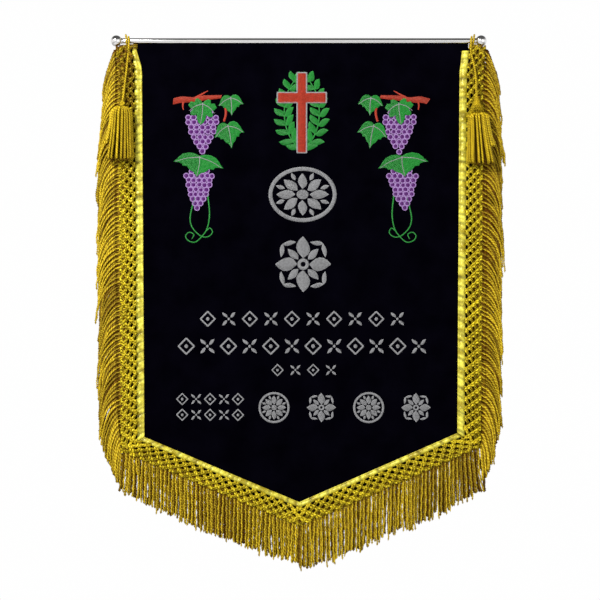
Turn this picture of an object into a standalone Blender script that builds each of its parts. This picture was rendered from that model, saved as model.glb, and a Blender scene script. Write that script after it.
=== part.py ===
"""A church banner on its hanging rod.

A velvet panel with a pointed bottom hangs from a slotted chrome rod with a ball finial at
each end. The panel's top hem is a bead that sits inside the rod. A gold trim is sewn down
both sides and along the two slanting lower edges: a satin tape, a knotted net heading and a
fringe of twisted cord, with mitred corners. At each end of the rod a tassel hangs in front
of the trim, on a cord that is tied round the rod.

Frame: metres, +Z up. The banner's front faces -Y, and +X is to the right of someone who
faces it. The origin is the middle of the rod's axis.
"""

import math
from collections import namedtuple

import bmesh
import bpy
from mathutils import Vector

# ---------------------------------------------------------------- driving dimensions (metres)

GAP = 0.0003            # between two pieces that touch
LAYER_GAP = 0.0004      # between the panel and what is sewn on it, which follows its folds

# Rod: a thin tube with a slot along its underside.
ROD_HALF_LENGTH = 0.3025
ROD_MIDDLE_X = -0.0036  # the rod has slid a little to the left in the hem
ROD_RADIUS = 0.00475
ROD_WALL = 0.0012
ROD_SLOT = 0.0030
ROD_ARC_STEPS = 24

# Finials: a short collar and a ball.
FINIAL_RADIUS = 0.0097
FINIAL_REACH = 0.3137   # from the rod's middle to a ball's centre
FINIAL_COLLAR_RADIUS = 0.0050
ROUND_STEPS = 24

# Panel: a velvet sheet. Its top hem is narrower than the rest, so the rod's ends are bare.
PANEL_HALF_WIDTH = 0.2985
PANEL_THICKNESS = 0.0020
PANEL_HEM_HALF_WIDTH = 0.2880
PANEL_SHOULDER_Z = -0.0125
PANEL_BEAD_RADIUS = 0.0028
PANEL_COLUMN_STEP = 0.0245
PANEL_ROWS = 10

# The panel reaches this far under the trim, measured from the trim's inner edge.
PANEL_UNDER_TRIM = 0.0280

# Trim: widths across each edge, side and bottom.
TAPE_THICKNESS = 0.0014
TAPE_SIDE_WIDTH = 0.0134
TAPE_LOWER_WIDTH = 0.0095
NET_THICKNESS = 0.0026
NET_SIDE_OUTER = 0.0400
NET_LOWER_OUTER = 0.0370
TRIM_ROW_STEP = 0.045
MITRE_GAP = 0.0003

# Fringe: one comb along each edge.
FRINGE_THICKNESS = 0.0032
FRINGE_SPINE = 0.0040
FRINGE_PITCH = 0.0165
FRINGE_TOOTH_SHARE = 0.62
FRINGE_BEND = 1.55      # a side strand starts level and turns down with this power
FRINGE_HEAD_BEND = 1.15     # the topmost strands slope from the start
FRINGE_HEAD_ZONE = 0.050
FRINGE_SIDE_STATIONS = (0.40, 0.72, 1.0)
FRINGE_LOWER_STATIONS = (0.5, 1.0)
FRINGE_UNEVEN = 0.045   # how far a strand's end strays, as a share of its length

# Tassels.
CORD_DIAMETER = 0.0036
CORD_ROD_CLEARANCE = 0.0005
CORD_WRAP_TURNS = 1.25
CORD_WRAP_STEPS = 18
CORD_WRAP_PITCH = 0.0042
CORD_POINT_SPACING = 0.0085
SKIRT_STEPS = 20
TASSEL_Y = -0.0185

# ---------------------------------------------------------------------------- named tables

Wave = namedtuple("Wave", "length height phase")
WAVES = (
    Wave(length=0.310, height=0.0026, phase=0.6),
    Wave(length=0.173, height=0.0014, phase=2.1),
)
WAVE_FULL_DEPTH = 0.80   # below the rod, where the folds have their full height

# The trim's inner edge: how far it is from the middle, at heights below the rod.
SideStation = namedtuple("SideStation", "z half_width")
SIDE_STATIONS = (
    SideStation(z=0.0, half_width=0.2785),
    SideStation(z=-0.055, half_width=0.2728),
    SideStation(z=-0.700, half_width=0.2685),
)
TIP_X = -0.0026
TIP_Z = -0.7930

# The net and the fringe start just below the cords' turns round the rod.
NET_TOP_Z = -0.0098

# One row for each side: its sign in X, the top of its tape, the height of its lower corner,
# how far its side strands reach out and drop, and how far its lower strands hang.
Side = namedtuple("Side", "name sign tape_top corner_z reach drop lower_hang cord_x")
SIDES = (
    Side(name="left", sign=-1, tape_top=-0.0136, corner_z=-0.6810, reach=0.0370, drop=0.0800,
         lower_hang=0.0690, cord_x=0.2953),
    Side(name="right", sign=1, tape_top=-0.0170, corner_z=-0.6740, reach=0.0335, drop=0.0780,
         lower_hang=0.0775, cord_x=0.2927),
)
# Near the lower corner the side strands hang closer in, and the lower strands are shorter.
CORNER_ZONE = 0.105
CORNER_REACH = 0.0090
CORNER_DROP = 0.0590
CORNER_LOWER_ZONE = 0.060
CORNER_LOWER_SHARE = 0.88

# Where each hanging cord goes below the rod: outward from the middle, and height.
RoutePoint = namedtuple("RoutePoint", "out y z")
CORD_ROUTES = {
    "left": (
        RoutePoint(out=0.2954, y=-0.0076, z=-0.010),
        RoutePoint(out=0.2966, y=-0.0084, z=-0.026),
        RoutePoint(out=0.2985, y=-0.0102, z=-0.045),
        RoutePoint(out=0.3008, y=-0.0127, z=-0.066),
        RoutePoint(out=0.3030, y=-0.0154, z=-0.087),
        RoutePoint(out=0.3056, y=-0.0178, z=-0.1050),
    ),
    "right": (
        RoutePoint(out=0.2921, y=-0.0076, z=-0.010),
        RoutePoint(out=0.2919, y=-0.0084, z=-0.020),
        RoutePoint(out=0.2944, y=-0.0095, z=-0.031),
        RoutePoint(out=0.2985, y=-0.0120, z=-0.050),
        RoutePoint(out=0.3004, y=-0.0148, z=-0.072),
        RoutePoint(out=0.3010, y=-0.0177, z=-0.0938),
    ),
}

# Turned profiles of the tassels, left and right: height below the piece's top, half width and half depth.
Ring = namedtuple("Ring", "down half_width half_depth")
Tassel = namedtuple("Tassel", "centre_out knot_top knot_rings skirt_top skirt_rings lean")
TASSELS = (
    Tassel(
        centre_out=0.3071, knot_top=-0.1053, skirt_top=-0.1145, lean=0.0015,
        knot_rings=(
            Ring(down=0.0, half_width=0.0020, half_depth=0.0020),
            Ring(down=0.0018, half_width=0.0038, half_depth=0.0038),
            Ring(down=0.0045, half_width=0.0046, half_depth=0.0046),
            Ring(down=0.0072, half_width=0.0038, half_depth=0.0038),
            Ring(down=0.0089, half_width=0.0022, half_depth=0.0022),
        ),
        skirt_rings=(
            Ring(down=0.0, half_width=0.0075, half_depth=0.0055),
            Ring(down=0.0035, half_width=0.0150, half_depth=0.0088),
            Ring(down=0.0110, half_width=0.0190, half_depth=0.0108),
            Ring(down=0.0400, half_width=0.0205, half_depth=0.0118),
            Ring(down=0.0840, half_width=0.0225, half_depth=0.0120),
            Ring(down=0.0900, half_width=0.0218, half_depth=0.0112),
        ),
    ),
    Tassel(
        centre_out=0.3030, knot_top=-0.0941, skirt_top=-0.1252, lean=0.0065,
        knot_rings=(
            Ring(down=0.0, half_width=0.0026, half_depth=0.0026),
            Ring(down=0.0100, half_width=0.0050, half_depth=0.0045),
            Ring(down=0.0190, half_width=0.0088, half_depth=0.0070),
            Ring(down=0.0308, half_width=0.0150, half_depth=0.0092),
        ),
        skirt_rings=(
            Ring(down=0.0, half_width=0.0165, half_depth=0.0098),
            Ring(down=0.0060, half_width=0.0182, half_depth=0.0106),
            Ring(down=0.0400, half_width=0.0205, half_depth=0.0118),
            Ring(down=0.0820, half_width=0.0245, half_depth=0.0120),
            Ring(down=0.0870, half_width=0.0238, half_depth=0.0112),
        ),
    ),
)

Finish = namedtuple("Finish", "colour roughness metallic")
FINISHES = {
    "chrome": Finish(colour=(0.62, 0.61, 0.60), roughness=0.12, metallic=1.0),
    "velvet": Finish(colour=(0.006, 0.006, 0.008), roughness=0.95, metallic=0.0),
    "satin": Finish(colour=(0.70, 0.62, 0.09), roughness=0.35, metallic=0.0),
    "gold_yarn": Finish(colour=(0.42, 0.30, 0.03), roughness=0.55, metallic=0.0),
}

# -------------------------------------------------------------------------- scene and objects


def clear_scene():
    """Start from an empty scene."""
    for item in list(bpy.data.objects):
        bpy.data.objects.remove(item, do_unlink=True)


def material(node, finish_name):
    """A Principled material of the piece's own."""
    finish = FINISHES[finish_name]
    made = bpy.data.materials.new(node)
    made.use_nodes = True
    shader = made.node_tree.nodes["Principled BSDF"]
    shader.inputs["Base Color"].default_value = (*finish.colour, 1.0)
    shader.inputs["Roughness"].default_value = finish.roughness
    shader.inputs["Metallic"].default_value = finish.metallic
    return made


def add_object(node, data, finish_name, smooth=False):
    """Put a mesh or curve into the scene under the node's name."""
    data.materials.append(material(node, finish_name))
    piece = bpy.data.objects.new(node, data)
    bpy.context.scene.collection.objects.link(piece)
    if smooth:
        data.shade_smooth()
        data.set_sharp_from_angle(angle=math.radians(40))
    return piece


def mesh_from_bmesh(node, working):
    """Turn a finished bmesh into a mesh whose faces point out."""
    bmesh.ops.recalc_face_normals(working, faces=working.faces)
    data = bpy.data.meshes.new(node)
    working.to_mesh(data)
    working.free()
    return data


# ---------------------------------------------------------------------------- shape of the hang


def hang(x, z):
    """How far the cloth swings back (+Y) at a place: not at all at the rod, most at the hem."""
    ripple = 0.0
    for wave in WAVES:
        ripple += wave.height * math.sin(2 * math.pi * x / wave.length + wave.phase)
    return ripple * max(0.0, -z) / WAVE_FULL_DEPTH


def side_half_width(z):
    """How far the trim's inner edge is from the middle, at a height."""
    for upper, lower in zip(SIDE_STATIONS, SIDE_STATIONS[1:]):
        if z >= lower.z:
            share = (z - upper.z) / (lower.z - upper.z)
            return upper.half_width + share * (lower.half_width - upper.half_width)
    return SIDE_STATIONS[-1].half_width


def corner_x(side):
    """Where a side's trim turns into the lower edge, with its sign."""
    return side.sign * side_half_width(side.corner_z)


def lower_slope(side):
    """Rise of a lower edge for each metre outward from the tip."""
    return (side.corner_z - TIP_Z) / abs(corner_x(side) - TIP_X)


def lower_edge_z(side, x, offset):
    """Height of a line that runs below a lower inner edge, at a square distance from it."""
    slope = lower_slope(side)
    outward = side.sign * (x - TIP_X)
    return TIP_Z + slope * outward - offset * math.hypot(1.0, slope)


def mitre_fall(side):
    """Fall of the corner's mitre for each metre outward: it halves the angle of the edges."""
    angle = math.atan(lower_slope(side))
    return (1.0 - math.sin(angle)) / math.cos(angle)


def mitre_z(side, x):
    """Height of the corner's mitre line at x."""
    outward = side.sign * (x - corner_x(side))
    return side.corner_z - mitre_fall(side) * outward


# ----------------------------------------------------------------------------- sheet builders


def thick_sheet(node, points, faces, front_y, back_y, finish_name):
    """A closed sheet from a flat layout.

    points are (x, z), faces are tuples of their indices, anticlockwise as seen from the
    front, and front_y and back_y give the two skins' depth at a point's index.
    """
    working = bmesh.new()
    front = [working.verts.new((x, front_y(i), z)) for i, (x, z) in enumerate(points)]
    back = [working.verts.new((x, back_y(i), z)) for i, (x, z) in enumerate(points)]
    directed = set()
    for face in faces:
        for start, end in zip(face, face[1:] + face[:1]):
            directed.add((start, end))
    for face in faces:
        working.faces.new([front[i] for i in face])
        working.faces.new([back[i] for i in reversed(face)])
    for start, end in sorted(directed):
        if (end, start) not in directed:
            working.faces.new((front[end], front[start], back[start], back[end]))
    loose = [vert for vert in working.verts if not vert.link_faces]
    bmesh.ops.delete(working, geom=loose, context="VERTS")
    return add_object(node, mesh_from_bmesh(node, working), finish_name)


def layered_sheet(node, points, faces, back_distance, thickness, finish_name):
    """A sheet that follows the hang, its back skin a distance in front of the cloth's middle."""
    def back_y(i):
        return hang(*points[i]) - back_distance

    def front_y(i):
        return hang(*points[i]) - back_distance - thickness

    return thick_sheet(node, points, faces, front_y, back_y, finish_name)


def grid_faces(rows, columns, keep=lambda row, column: True):
    """Quads of a grid whose rows run down and whose columns run right, in row order."""
    faces = []
    for row in range(rows - 1):
        for column in range(columns - 1):
            if keep(row, column):
                top_left = row * columns + column
                below = top_left + columns
                faces.append((top_left, below, below + 1, top_left + 1))
    return faces


def spread(start, end, step):
    """Evenly spaced values from start to end, no further apart than step."""
    count = max(1, math.ceil(abs(end - start) / step - 1e-6))
    return [start + (end - start) * i / count for i in range(count + 1)]


# ---------------------------------------------------------------------------------- the panel


def panel_columns():
    """X of the panel's columns. The lower trims share them, so their folds match."""
    stops = (-PANEL_HALF_WIDTH, -PANEL_HEM_HALF_WIDTH, TIP_X, PANEL_HEM_HALF_WIDTH,
             PANEL_HALF_WIDTH)
    columns = [stops[0]]
    for start, end in zip(stops, stops[1:]):
        columns.extend(spread(start, end, PANEL_COLUMN_STEP)[1:])
    return columns


def side_of(x):
    """The side on which an x lies."""
    return SIDES[0] if x < TIP_X else SIDES[1]


def build_panel():
    """The pointed velvet panel, with a bead along its top hem that the rod holds."""
    half = PANEL_THICKNESS / 2
    bead = PANEL_BEAD_RADIUS
    # Height and half thickness of each row of the bead, then of the neck through the slot.
    hem_rows = [(bead * math.cos(angle), max(half, bead * math.sin(angle)))
                for angle in (math.radians(degrees) for degrees in (21, 55, 90, 125, 159))]
    hem_rows.append((-ROD_RADIUS, half))
    columns = panel_columns()
    points = []
    halves = []
    for z, row_half in hem_rows:
        for x in columns:
            points.append((x, z))
            halves.append(row_half)
    for row in range(PANEL_ROWS + 1):
        for x in columns:
            bottom = lower_edge_z(side_of(x), x, PANEL_UNDER_TRIM)
            points.append((x, PANEL_SHOULDER_Z + (bottom - PANEL_SHOULDER_Z) * row / PANEL_ROWS))
            halves.append(half)

    def keep(row, column):
        in_hem = -PANEL_HEM_HALF_WIDTH <= columns[column] < PANEL_HEM_HALF_WIDTH
        return in_hem or row >= len(hem_rows)

    faces = grid_faces(len(hem_rows) + PANEL_ROWS + 1, len(columns), keep)
    thick_sheet(
        "banner_panel", points, faces,
        front_y=lambda i: hang(*points[i]) - halves[i],
        back_y=lambda i: hang(*points[i]) + halves[i],
        finish_name="velvet")


# ------------------------------------------------------------------------------ tapes and nets


def side_strip(node, side, top, inner, outer, thickness, finish_name):
    """A strip down a side, square at its top and cut on the mitre at its foot."""
    bend_z = SIDE_STATIONS[1].z
    heights = spread(top, bend_z, TRIM_ROW_STEP)
    heights += spread(bend_z, side.corner_z, TRIM_ROW_STEP)[1:]
    points = []
    for height in heights:
        # Below the bend the rows fan out, so the last one lies on the mitre.
        share = min(0.0, height - bend_z) / (side.corner_z - bend_z)
        row = []
        for offset in (inner, outer):
            z = height - share * (mitre_fall(side) * offset - MITRE_GAP)
            row.append((side.sign * (side_half_width(z) + offset), z))
        points.extend(row if side.sign > 0 else reversed(row))
    faces = grid_faces(len(heights), 2)
    back = PANEL_THICKNESS / 2 + LAYER_GAP
    layered_sheet(node, points, faces, back, thickness, finish_name)


def lower_strip(node, side, inner, outer, thickness, finish_name):
    """A strip along a lower edge, cut on the mitre at the corner and upright at the tip."""
    slope = lower_slope(side)
    lengthen = math.hypot(1.0, slope)
    fall = mitre_fall(side)

    def mitre_start(offset):
        reach = (offset * lengthen - MITRE_GAP) / (fall + slope)
        return corner_x(side) + side.sign * reach

    tip_end = TIP_X + side.sign * MITRE_GAP / 2
    low, high = sorted((mitre_start(inner), tip_end))
    shared = [x for x in panel_columns() if low + 0.002 < x < high - 0.002]
    stations = sorted([mitre_start(outer), mitre_start(inner), tip_end] + shared)
    points = []
    for x in stations:
        below_mitre = mitre_z(side, x) - MITRE_GAP
        points.append((x, min(lower_edge_z(side, x, inner), below_mitre)))
    for x in stations:
        points.append((x, lower_edge_z(side, x, outer)))
    count = len(stations)
    faces = []
    for column in range(count - 1):
        faces.append((column, count + column, count + column + 1, column + 1))
    # At the mitre the strip ends in a point, so its last cell is a triangle.
    if side.sign < 0:
        faces[0] = (count, count + 1, 1)
    else:
        faces[-1] = (count - 2, 2 * count - 2, 2 * count - 1)
    back = PANEL_THICKNESS / 2 + LAYER_GAP
    layered_sheet(node, points, faces, back, thickness, finish_name)


def build_tapes_and_nets():
    """Four tapes and four nets, one of each along each edge."""
    for side in SIDES:
        side_strip(f"tape_{side.name}", side, side.tape_top, 0.0, TAPE_SIDE_WIDTH,
                   TAPE_THICKNESS, "satin")
        side_strip(f"net_{side.name}", side, NET_TOP_Z, TAPE_SIDE_WIDTH + GAP, NET_SIDE_OUTER,
                   NET_THICKNESS, "gold_yarn")
        lower_strip(f"tape_lower_{side.name}", side, 0.0, TAPE_LOWER_WIDTH,
                    TAPE_THICKNESS, "satin")
        lower_strip(f"net_lower_{side.name}", side, TAPE_LOWER_WIDTH + GAP, NET_LOWER_OUTER,
                    NET_THICKNESS, "gold_yarn")


# ------------------------------------------------------------------------------------ fringes


def stray(index):
    """A small uneven value from -1 to 1, the same each time for the same strand."""
    return math.sin(index * 2.399) * 0.6 + math.sin(index * 0.731 + 1.3) * 0.4


def tooth_borders(start, end):
    """Both borders of each tooth from start to end. The last tooth reaches the end."""
    teeth = max(1, round(abs(end - start) / FRINGE_PITCH))
    step = (end - start) / teeth
    borders = []
    for tooth in range(teeth):
        borders.append(start + step * tooth)
        borders.append(start + step * (tooth + FRINGE_TOOTH_SHARE))
    borders[-1] = end
    return borders


def fringe_back():
    """The comb's back skin: the comb is centred on the middle of the net's thickness."""
    return PANEL_THICKNESS / 2 + LAYER_GAP + NET_THICKNESS / 2 - FRINGE_THICKNESS / 2


def side_strand_point(side, start_z, out):
    """Where a side strand that leaves the net at start_z is, at a share of its reach out."""
    foot = side.corner_z - mitre_fall(side) * NET_SIDE_OUTER
    near = min(1.0, max(0.0, 1.0 - (start_z - foot) / CORNER_ZONE))
    reach = side.reach + (CORNER_REACH - side.reach) * near
    drop = side.drop + (CORNER_DROP - side.drop) * near
    x = side_half_width(start_z) + NET_SIDE_OUTER + GAP + out * reach
    near_head = max(0.0, 1.0 - (NET_TOP_Z - start_z) / FRINGE_HEAD_ZONE)
    bend = FRINGE_BEND + (FRINGE_HEAD_BEND - FRINGE_BEND) * near_head
    return (side.sign * x, start_z - drop * out ** bend)


def side_fringe(side):
    """The comb down a side: a spine along the net, and teeth that bend out and down."""
    foot = side.corner_z - mitre_fall(side) * NET_SIDE_OUTER + MITRE_GAP
    borders = tooth_borders(NET_TOP_Z, foot)
    spine = FRINGE_SPINE / side.reach
    points = []
    for index, start_z in enumerate(borders):
        end_share = 1.0 + FRINGE_UNEVEN * stray(index // 2)
        row = [side_strand_point(side, start_z, share) for share in (0.0, spine)]
        for station in FRINGE_SIDE_STATIONS:
            share = end_share if station == FRINGE_SIDE_STATIONS[-1] else station
            row.append(side_strand_point(side, start_z, share))
        points.extend(row if side.sign > 0 else reversed(row))
    columns = 2 + len(FRINGE_SIDE_STATIONS)
    spine_column = 0 if side.sign > 0 else columns - 2

    def keep(row, column):
        return column == spine_column or row % 2 == 0

    faces = grid_faces(len(borders), columns, keep)
    layered_sheet(f"fringe_{side.name}", points, faces, fringe_back(), FRINGE_THICKNESS,
                  "gold_yarn")


def lower_fringe(side):
    """The comb along a lower edge: its teeth hang straight down."""
    tip_end = TIP_X + side.sign * MITRE_GAP / 2
    corner_end = corner_x(side) + side.sign * NET_LOWER_OUTER
    borders = sorted(tooth_borders(tip_end, corner_end))
    tops = [lower_edge_z(side, x, NET_LOWER_OUTER) - GAP for x in borders]
    lengths = []
    for x in borders:
        from_corner = abs(x - corner_end) / CORNER_LOWER_ZONE
        share = CORNER_LOWER_SHARE + (1.0 - CORNER_LOWER_SHARE) * min(1.0, from_corner)
        lengths.append(side.lower_hang * share)
    points = list(zip(borders, tops))
    points += [(x, top - FRINGE_SPINE) for x, top in zip(borders, tops)]
    for station in FRINGE_LOWER_STATIONS:
        for index, x in enumerate(borders):
            length = lengths[index] * station
            if station == FRINGE_LOWER_STATIONS[-1]:
                length *= 1.0 + FRINGE_UNEVEN * stray(index // 2 + 3)
            points.append((x, tops[index] - length))

    def keep(row, column):
        return row == 0 or column % 2 == 0

    faces = grid_faces(2 + len(FRINGE_LOWER_STATIONS), len(borders), keep)
    layered_sheet(f"fringe_lower_{side.name}", points, faces, fringe_back(), FRINGE_THICKNESS,
                  "gold_yarn")


def build_fringes():
    """Four combs, one along each edge."""
    for side in SIDES:
        side_fringe(side)
        lower_fringe(side)


# ----------------------------------------------------------------------------- rod and finials


def build_rod():
    """The slotted tube: a C-shaped section drawn along X, open downwards."""
    inner = ROD_RADIUS - ROD_WALL
    outer_start = math.asin(ROD_SLOT / 2 / ROD_RADIUS)
    inner_start = math.asin(ROD_SLOT / 2 / inner)
    section = []
    for angle in spread(outer_start, 2 * math.pi - outer_start, 2 * math.pi / ROD_ARC_STEPS):
        section.append((-ROD_RADIUS * math.sin(angle), -ROD_RADIUS * math.cos(angle)))
    for angle in spread(2 * math.pi - inner_start, inner_start, 2 * math.pi / ROD_ARC_STEPS):
        section.append((-inner * math.sin(angle), -inner * math.cos(angle)))
    working = bmesh.new()
    start_x = ROD_MIDDLE_X - ROD_HALF_LENGTH
    end_ring = [working.verts.new((start_x, y, z)) for y, z in section]
    end_face = working.faces.new(end_ring)
    drawn = bmesh.ops.extrude_face_region(working, geom=[end_face])
    moved = [item for item in drawn["geom"] if isinstance(item, bmesh.types.BMVert)]
    bmesh.ops.translate(working, verts=moved, vec=(2 * ROD_HALF_LENGTH, 0.0, 0.0))
    add_object("rod", mesh_from_bmesh("rod", working), "chrome", smooth=True)


def turned(node, profile, steps, axis, finish_name):
    """A solid turned about an axis from a profile of points that starts and ends on it."""
    working = bmesh.new()
    verts = [working.verts.new(point) for point in profile]
    edges = [working.edges.new(pair) for pair in zip(verts, verts[1:])]
    bmesh.ops.spin(
        working, geom=verts + edges, cent=(0.0, 0.0, 0.0), axis=axis,
        angle=2 * math.pi, steps=steps, use_merge=True)
    bmesh.ops.remove_doubles(working, verts=working.verts, dist=1e-6)
    return add_object(node, mesh_from_bmesh(node, working), finish_name, smooth=True)


def build_finials():
    """A collar and a ball on each end of the rod."""
    collar_start = ROD_HALF_LENGTH + GAP
    first_angle = math.pi - math.asin(FINIAL_COLLAR_RADIUS / FINIAL_RADIUS)
    profile = [(collar_start, 0.0, 0.0), (collar_start, 0.0, FINIAL_COLLAR_RADIUS)]
    for angle in spread(first_angle, 0.0, 2 * math.pi / ROUND_STEPS):
        x = FINIAL_REACH + FINIAL_RADIUS * math.cos(angle)
        profile.append((x, 0.0, FINIAL_RADIUS * math.sin(angle)))
    for side in SIDES:
        points = [(ROD_MIDDLE_X + side.sign * x, y, z) for x, y, z in profile]
        turned(f"finial_{side.name}", points, ROUND_STEPS, (1.0, 0.0, 0.0), "chrome")


# ------------------------------------------------------------------------------------ tassels


def smooth_route(points, spacing):
    """Evenly spaced points on a smooth curve through a route's points."""
    padded = [2 * points[0] - points[1], *points, 2 * points[-1] - points[-2]]
    dense = []
    for before, start, end, after in zip(padded, padded[1:], padded[2:], padded[3:]):
        for step in range(24):
            t = step / 24
            dense.append(0.5 * (2 * start + (end - before) * t
                                + (2 * before - 5 * start + 4 * end - after) * t ** 2
                                + (3 * start - before - 3 * end + after) * t ** 3))
    dense.append(points[-1])
    total = sum((b - a).length for a, b in zip(dense, dense[1:]))
    count = max(2, round(total / spacing))
    result = [dense[0]]
    walked = 0.0
    for a, b in zip(dense, dense[1:]):
        length = (b - a).length
        while len(result) < count and walked + length >= total * len(result) / count:
            share = (total * len(result) / count - walked) / length
            result.append(a.lerp(b, share))
        walked += length
    result.append(dense[-1])
    return result


def cord_points(side):
    """A tassel cord's centreline: its free end, its turns round the rod, and its hang."""
    radius = ROD_RADIUS + CORD_ROD_CLEARANCE + CORD_DIAMETER / 2
    first_x = side.cord_x + CORD_WRAP_TURNS * CORD_WRAP_PITCH
    end_z = radius + CORD_DIAMETER * 1.55
    free_end = [
        Vector((side.sign * (first_x + 0.0012), 0.0068, end_z)),
        Vector((side.sign * (first_x + 0.0006), 0.0048, radius + CORD_DIAMETER * 0.70)),
        Vector((side.sign * (first_x + 0.0001), 0.0024, radius + CORD_DIAMETER * 0.10)),
    ]
    wrap = []
    steps = round(CORD_WRAP_TURNS * CORD_WRAP_STEPS)
    for step in range(steps + 1):
        turn = CORD_WRAP_TURNS * step / steps
        angle = 2 * math.pi * turn
        x = side.sign * (first_x - CORD_WRAP_PITCH * turn)
        wrap.append(Vector((x, -radius * math.sin(angle), radius * math.cos(angle))))
    route = [Vector((side.sign * p.out, p.y, p.z)) for p in CORD_ROUTES[side.name]]
    fall = smooth_route([wrap[-1], *route], CORD_POINT_SPACING)
    return free_end + wrap + fall[1:]


def build_cord(side):
    """The tassel's cord, as a tube along its centreline."""
    node = f"tassel_cord_{side.name}"
    data = bpy.data.curves.new(node, "CURVE")
    data.dimensions = "3D"
    data.bevel_depth = CORD_DIAMETER / 2
    data.bevel_resolution = 2
    data.use_fill_caps = True
    centreline = cord_points(side)
    spline = data.splines.new("POLY")
    spline.points.add(len(centreline) - 1)
    for point, place in zip(spline.points, centreline):
        point.co = (*place, 1.0)
    add_object(node, data, "gold_yarn")


def ringed_solid(node, rings, place, lean, steps):
    """A tassel part from its rings, flatter in depth than in width, leaning outward."""
    working = bmesh.new()
    loops = []
    for ring in rings:
        loop = []
        for step in range(steps):
            angle = 2 * math.pi * step / steps
            x = ring.half_width * math.cos(angle) + lean * ring.down / rings[-1].down
            y = ring.half_depth * math.sin(angle)
            loop.append(working.verts.new((x, y, -ring.down)))
        loops.append(loop)
    for upper, lower in zip(loops, loops[1:]):
        for i in range(steps):
            j = (i + 1) % steps
            working.faces.new((upper[i], upper[j], lower[j], lower[i]))
    working.faces.new(loops[0])
    working.faces.new(loops[-1])
    piece = add_object(node, mesh_from_bmesh(node, working), "gold_yarn", smooth=True)
    piece.location = place
    return piece


def build_tassels():
    """Both tassels: cord, knot and skirt."""
    for side, tassel in zip(SIDES, TASSELS):
        build_cord(side)
        x = side.sign * tassel.centre_out
        lean = side.sign * tassel.lean
        ringed_solid(f"tassel_knot_{side.name}", tassel.knot_rings,
                     (side.sign * CORD_ROUTES[side.name][-1].out, TASSEL_Y, tassel.knot_top),
                     0.0, SKIRT_STEPS)
        ringed_solid(f"tassel_skirt_{side.name}", tassel.skirt_rings,
                     (x, TASSEL_Y, tassel.skirt_top), lean, SKIRT_STEPS)


def main():
    """Build the whole banner."""
    clear_scene()
    build_rod()
    build_finials()
    build_panel()
    build_tapes_and_nets()
    build_fringes()
    build_tassels()


main()
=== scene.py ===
"""The looks of a church banner on its hanging rod.

Each soft CAD solid is replaced by a detailed mesh that follows it: the velvet panel, the
satin tapes, the knotted nets, the twisted fringes, and the tassels. The embroidery is laid
on the panel's face as rows of single satin stitches.
"""

import itertools
import math

import bpy
import numpy as np
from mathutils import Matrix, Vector
from mathutils.bvhtree import BVHTree


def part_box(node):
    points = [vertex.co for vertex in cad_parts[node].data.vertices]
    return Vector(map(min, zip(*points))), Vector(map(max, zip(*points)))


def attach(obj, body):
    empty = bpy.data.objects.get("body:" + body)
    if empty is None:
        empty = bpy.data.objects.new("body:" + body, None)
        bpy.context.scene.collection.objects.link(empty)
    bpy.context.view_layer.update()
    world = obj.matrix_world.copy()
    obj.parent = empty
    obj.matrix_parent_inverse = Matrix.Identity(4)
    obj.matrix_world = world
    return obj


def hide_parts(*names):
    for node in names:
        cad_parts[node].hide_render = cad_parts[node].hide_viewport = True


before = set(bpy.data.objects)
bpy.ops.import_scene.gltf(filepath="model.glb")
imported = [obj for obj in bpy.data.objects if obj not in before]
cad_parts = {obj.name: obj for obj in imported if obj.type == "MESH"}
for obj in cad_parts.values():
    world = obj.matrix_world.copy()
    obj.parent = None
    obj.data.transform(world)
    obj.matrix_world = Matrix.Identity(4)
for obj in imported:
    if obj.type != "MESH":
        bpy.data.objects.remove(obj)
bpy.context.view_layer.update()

MM = 0.001
TAU = 2 * math.pi
SIDES = (("left", -1), ("right", 1))
CLOTH_TOP = -0.0160         # above this height the cloth bends back to the rod's middle

# ------------------------------------------------------------------- reading the frame's shapes


def node_arrays(node):
    """A CAD node's vertices and edges as arrays."""
    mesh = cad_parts[node].data
    points = np.zeros(len(mesh.vertices) * 3)
    mesh.vertices.foreach_get("co", points)
    edges = np.zeros(len(mesh.edges) * 2, int)
    mesh.edges.foreach_get("vertices", edges)
    return points.reshape(-1, 3), edges.reshape(-1, 2)


class Silhouette:
    """A node's outline: where it starts and ends across a line at a given place."""

    def __init__(self, node, across, along):
        points, edges = node_arrays(node)
        self.start = points[edges[:, 0]][:, (across, along)]
        self.end = points[edges[:, 1]][:, (across, along)]
        self.low = points[:, along].min()
        self.high = points[:, along].max()

    def at(self, places):
        """The lowest and highest value across, at each place along."""
        inside = 1e-5
        places = np.clip(np.atleast_1d(places), self.low + inside, self.high - inside)
        lows, highs = [], []
        for place in places:
            crossing = (self.start[:, 1] - place) * (self.end[:, 1] - place) <= 0
            start, end = self.start[crossing], self.end[crossing]
            run = end[:, 1] - start[:, 1]
            share = np.where(abs(run) > 1e-9, (place - start[:, 1]) / np.where(run == 0, 1, run), 0)
            value = start[:, 0] + share * (end[:, 0] - start[:, 0])
            lows.append(value.min())
            highs.append(value.max())
        return np.array(lows), np.array(highs)


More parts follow.
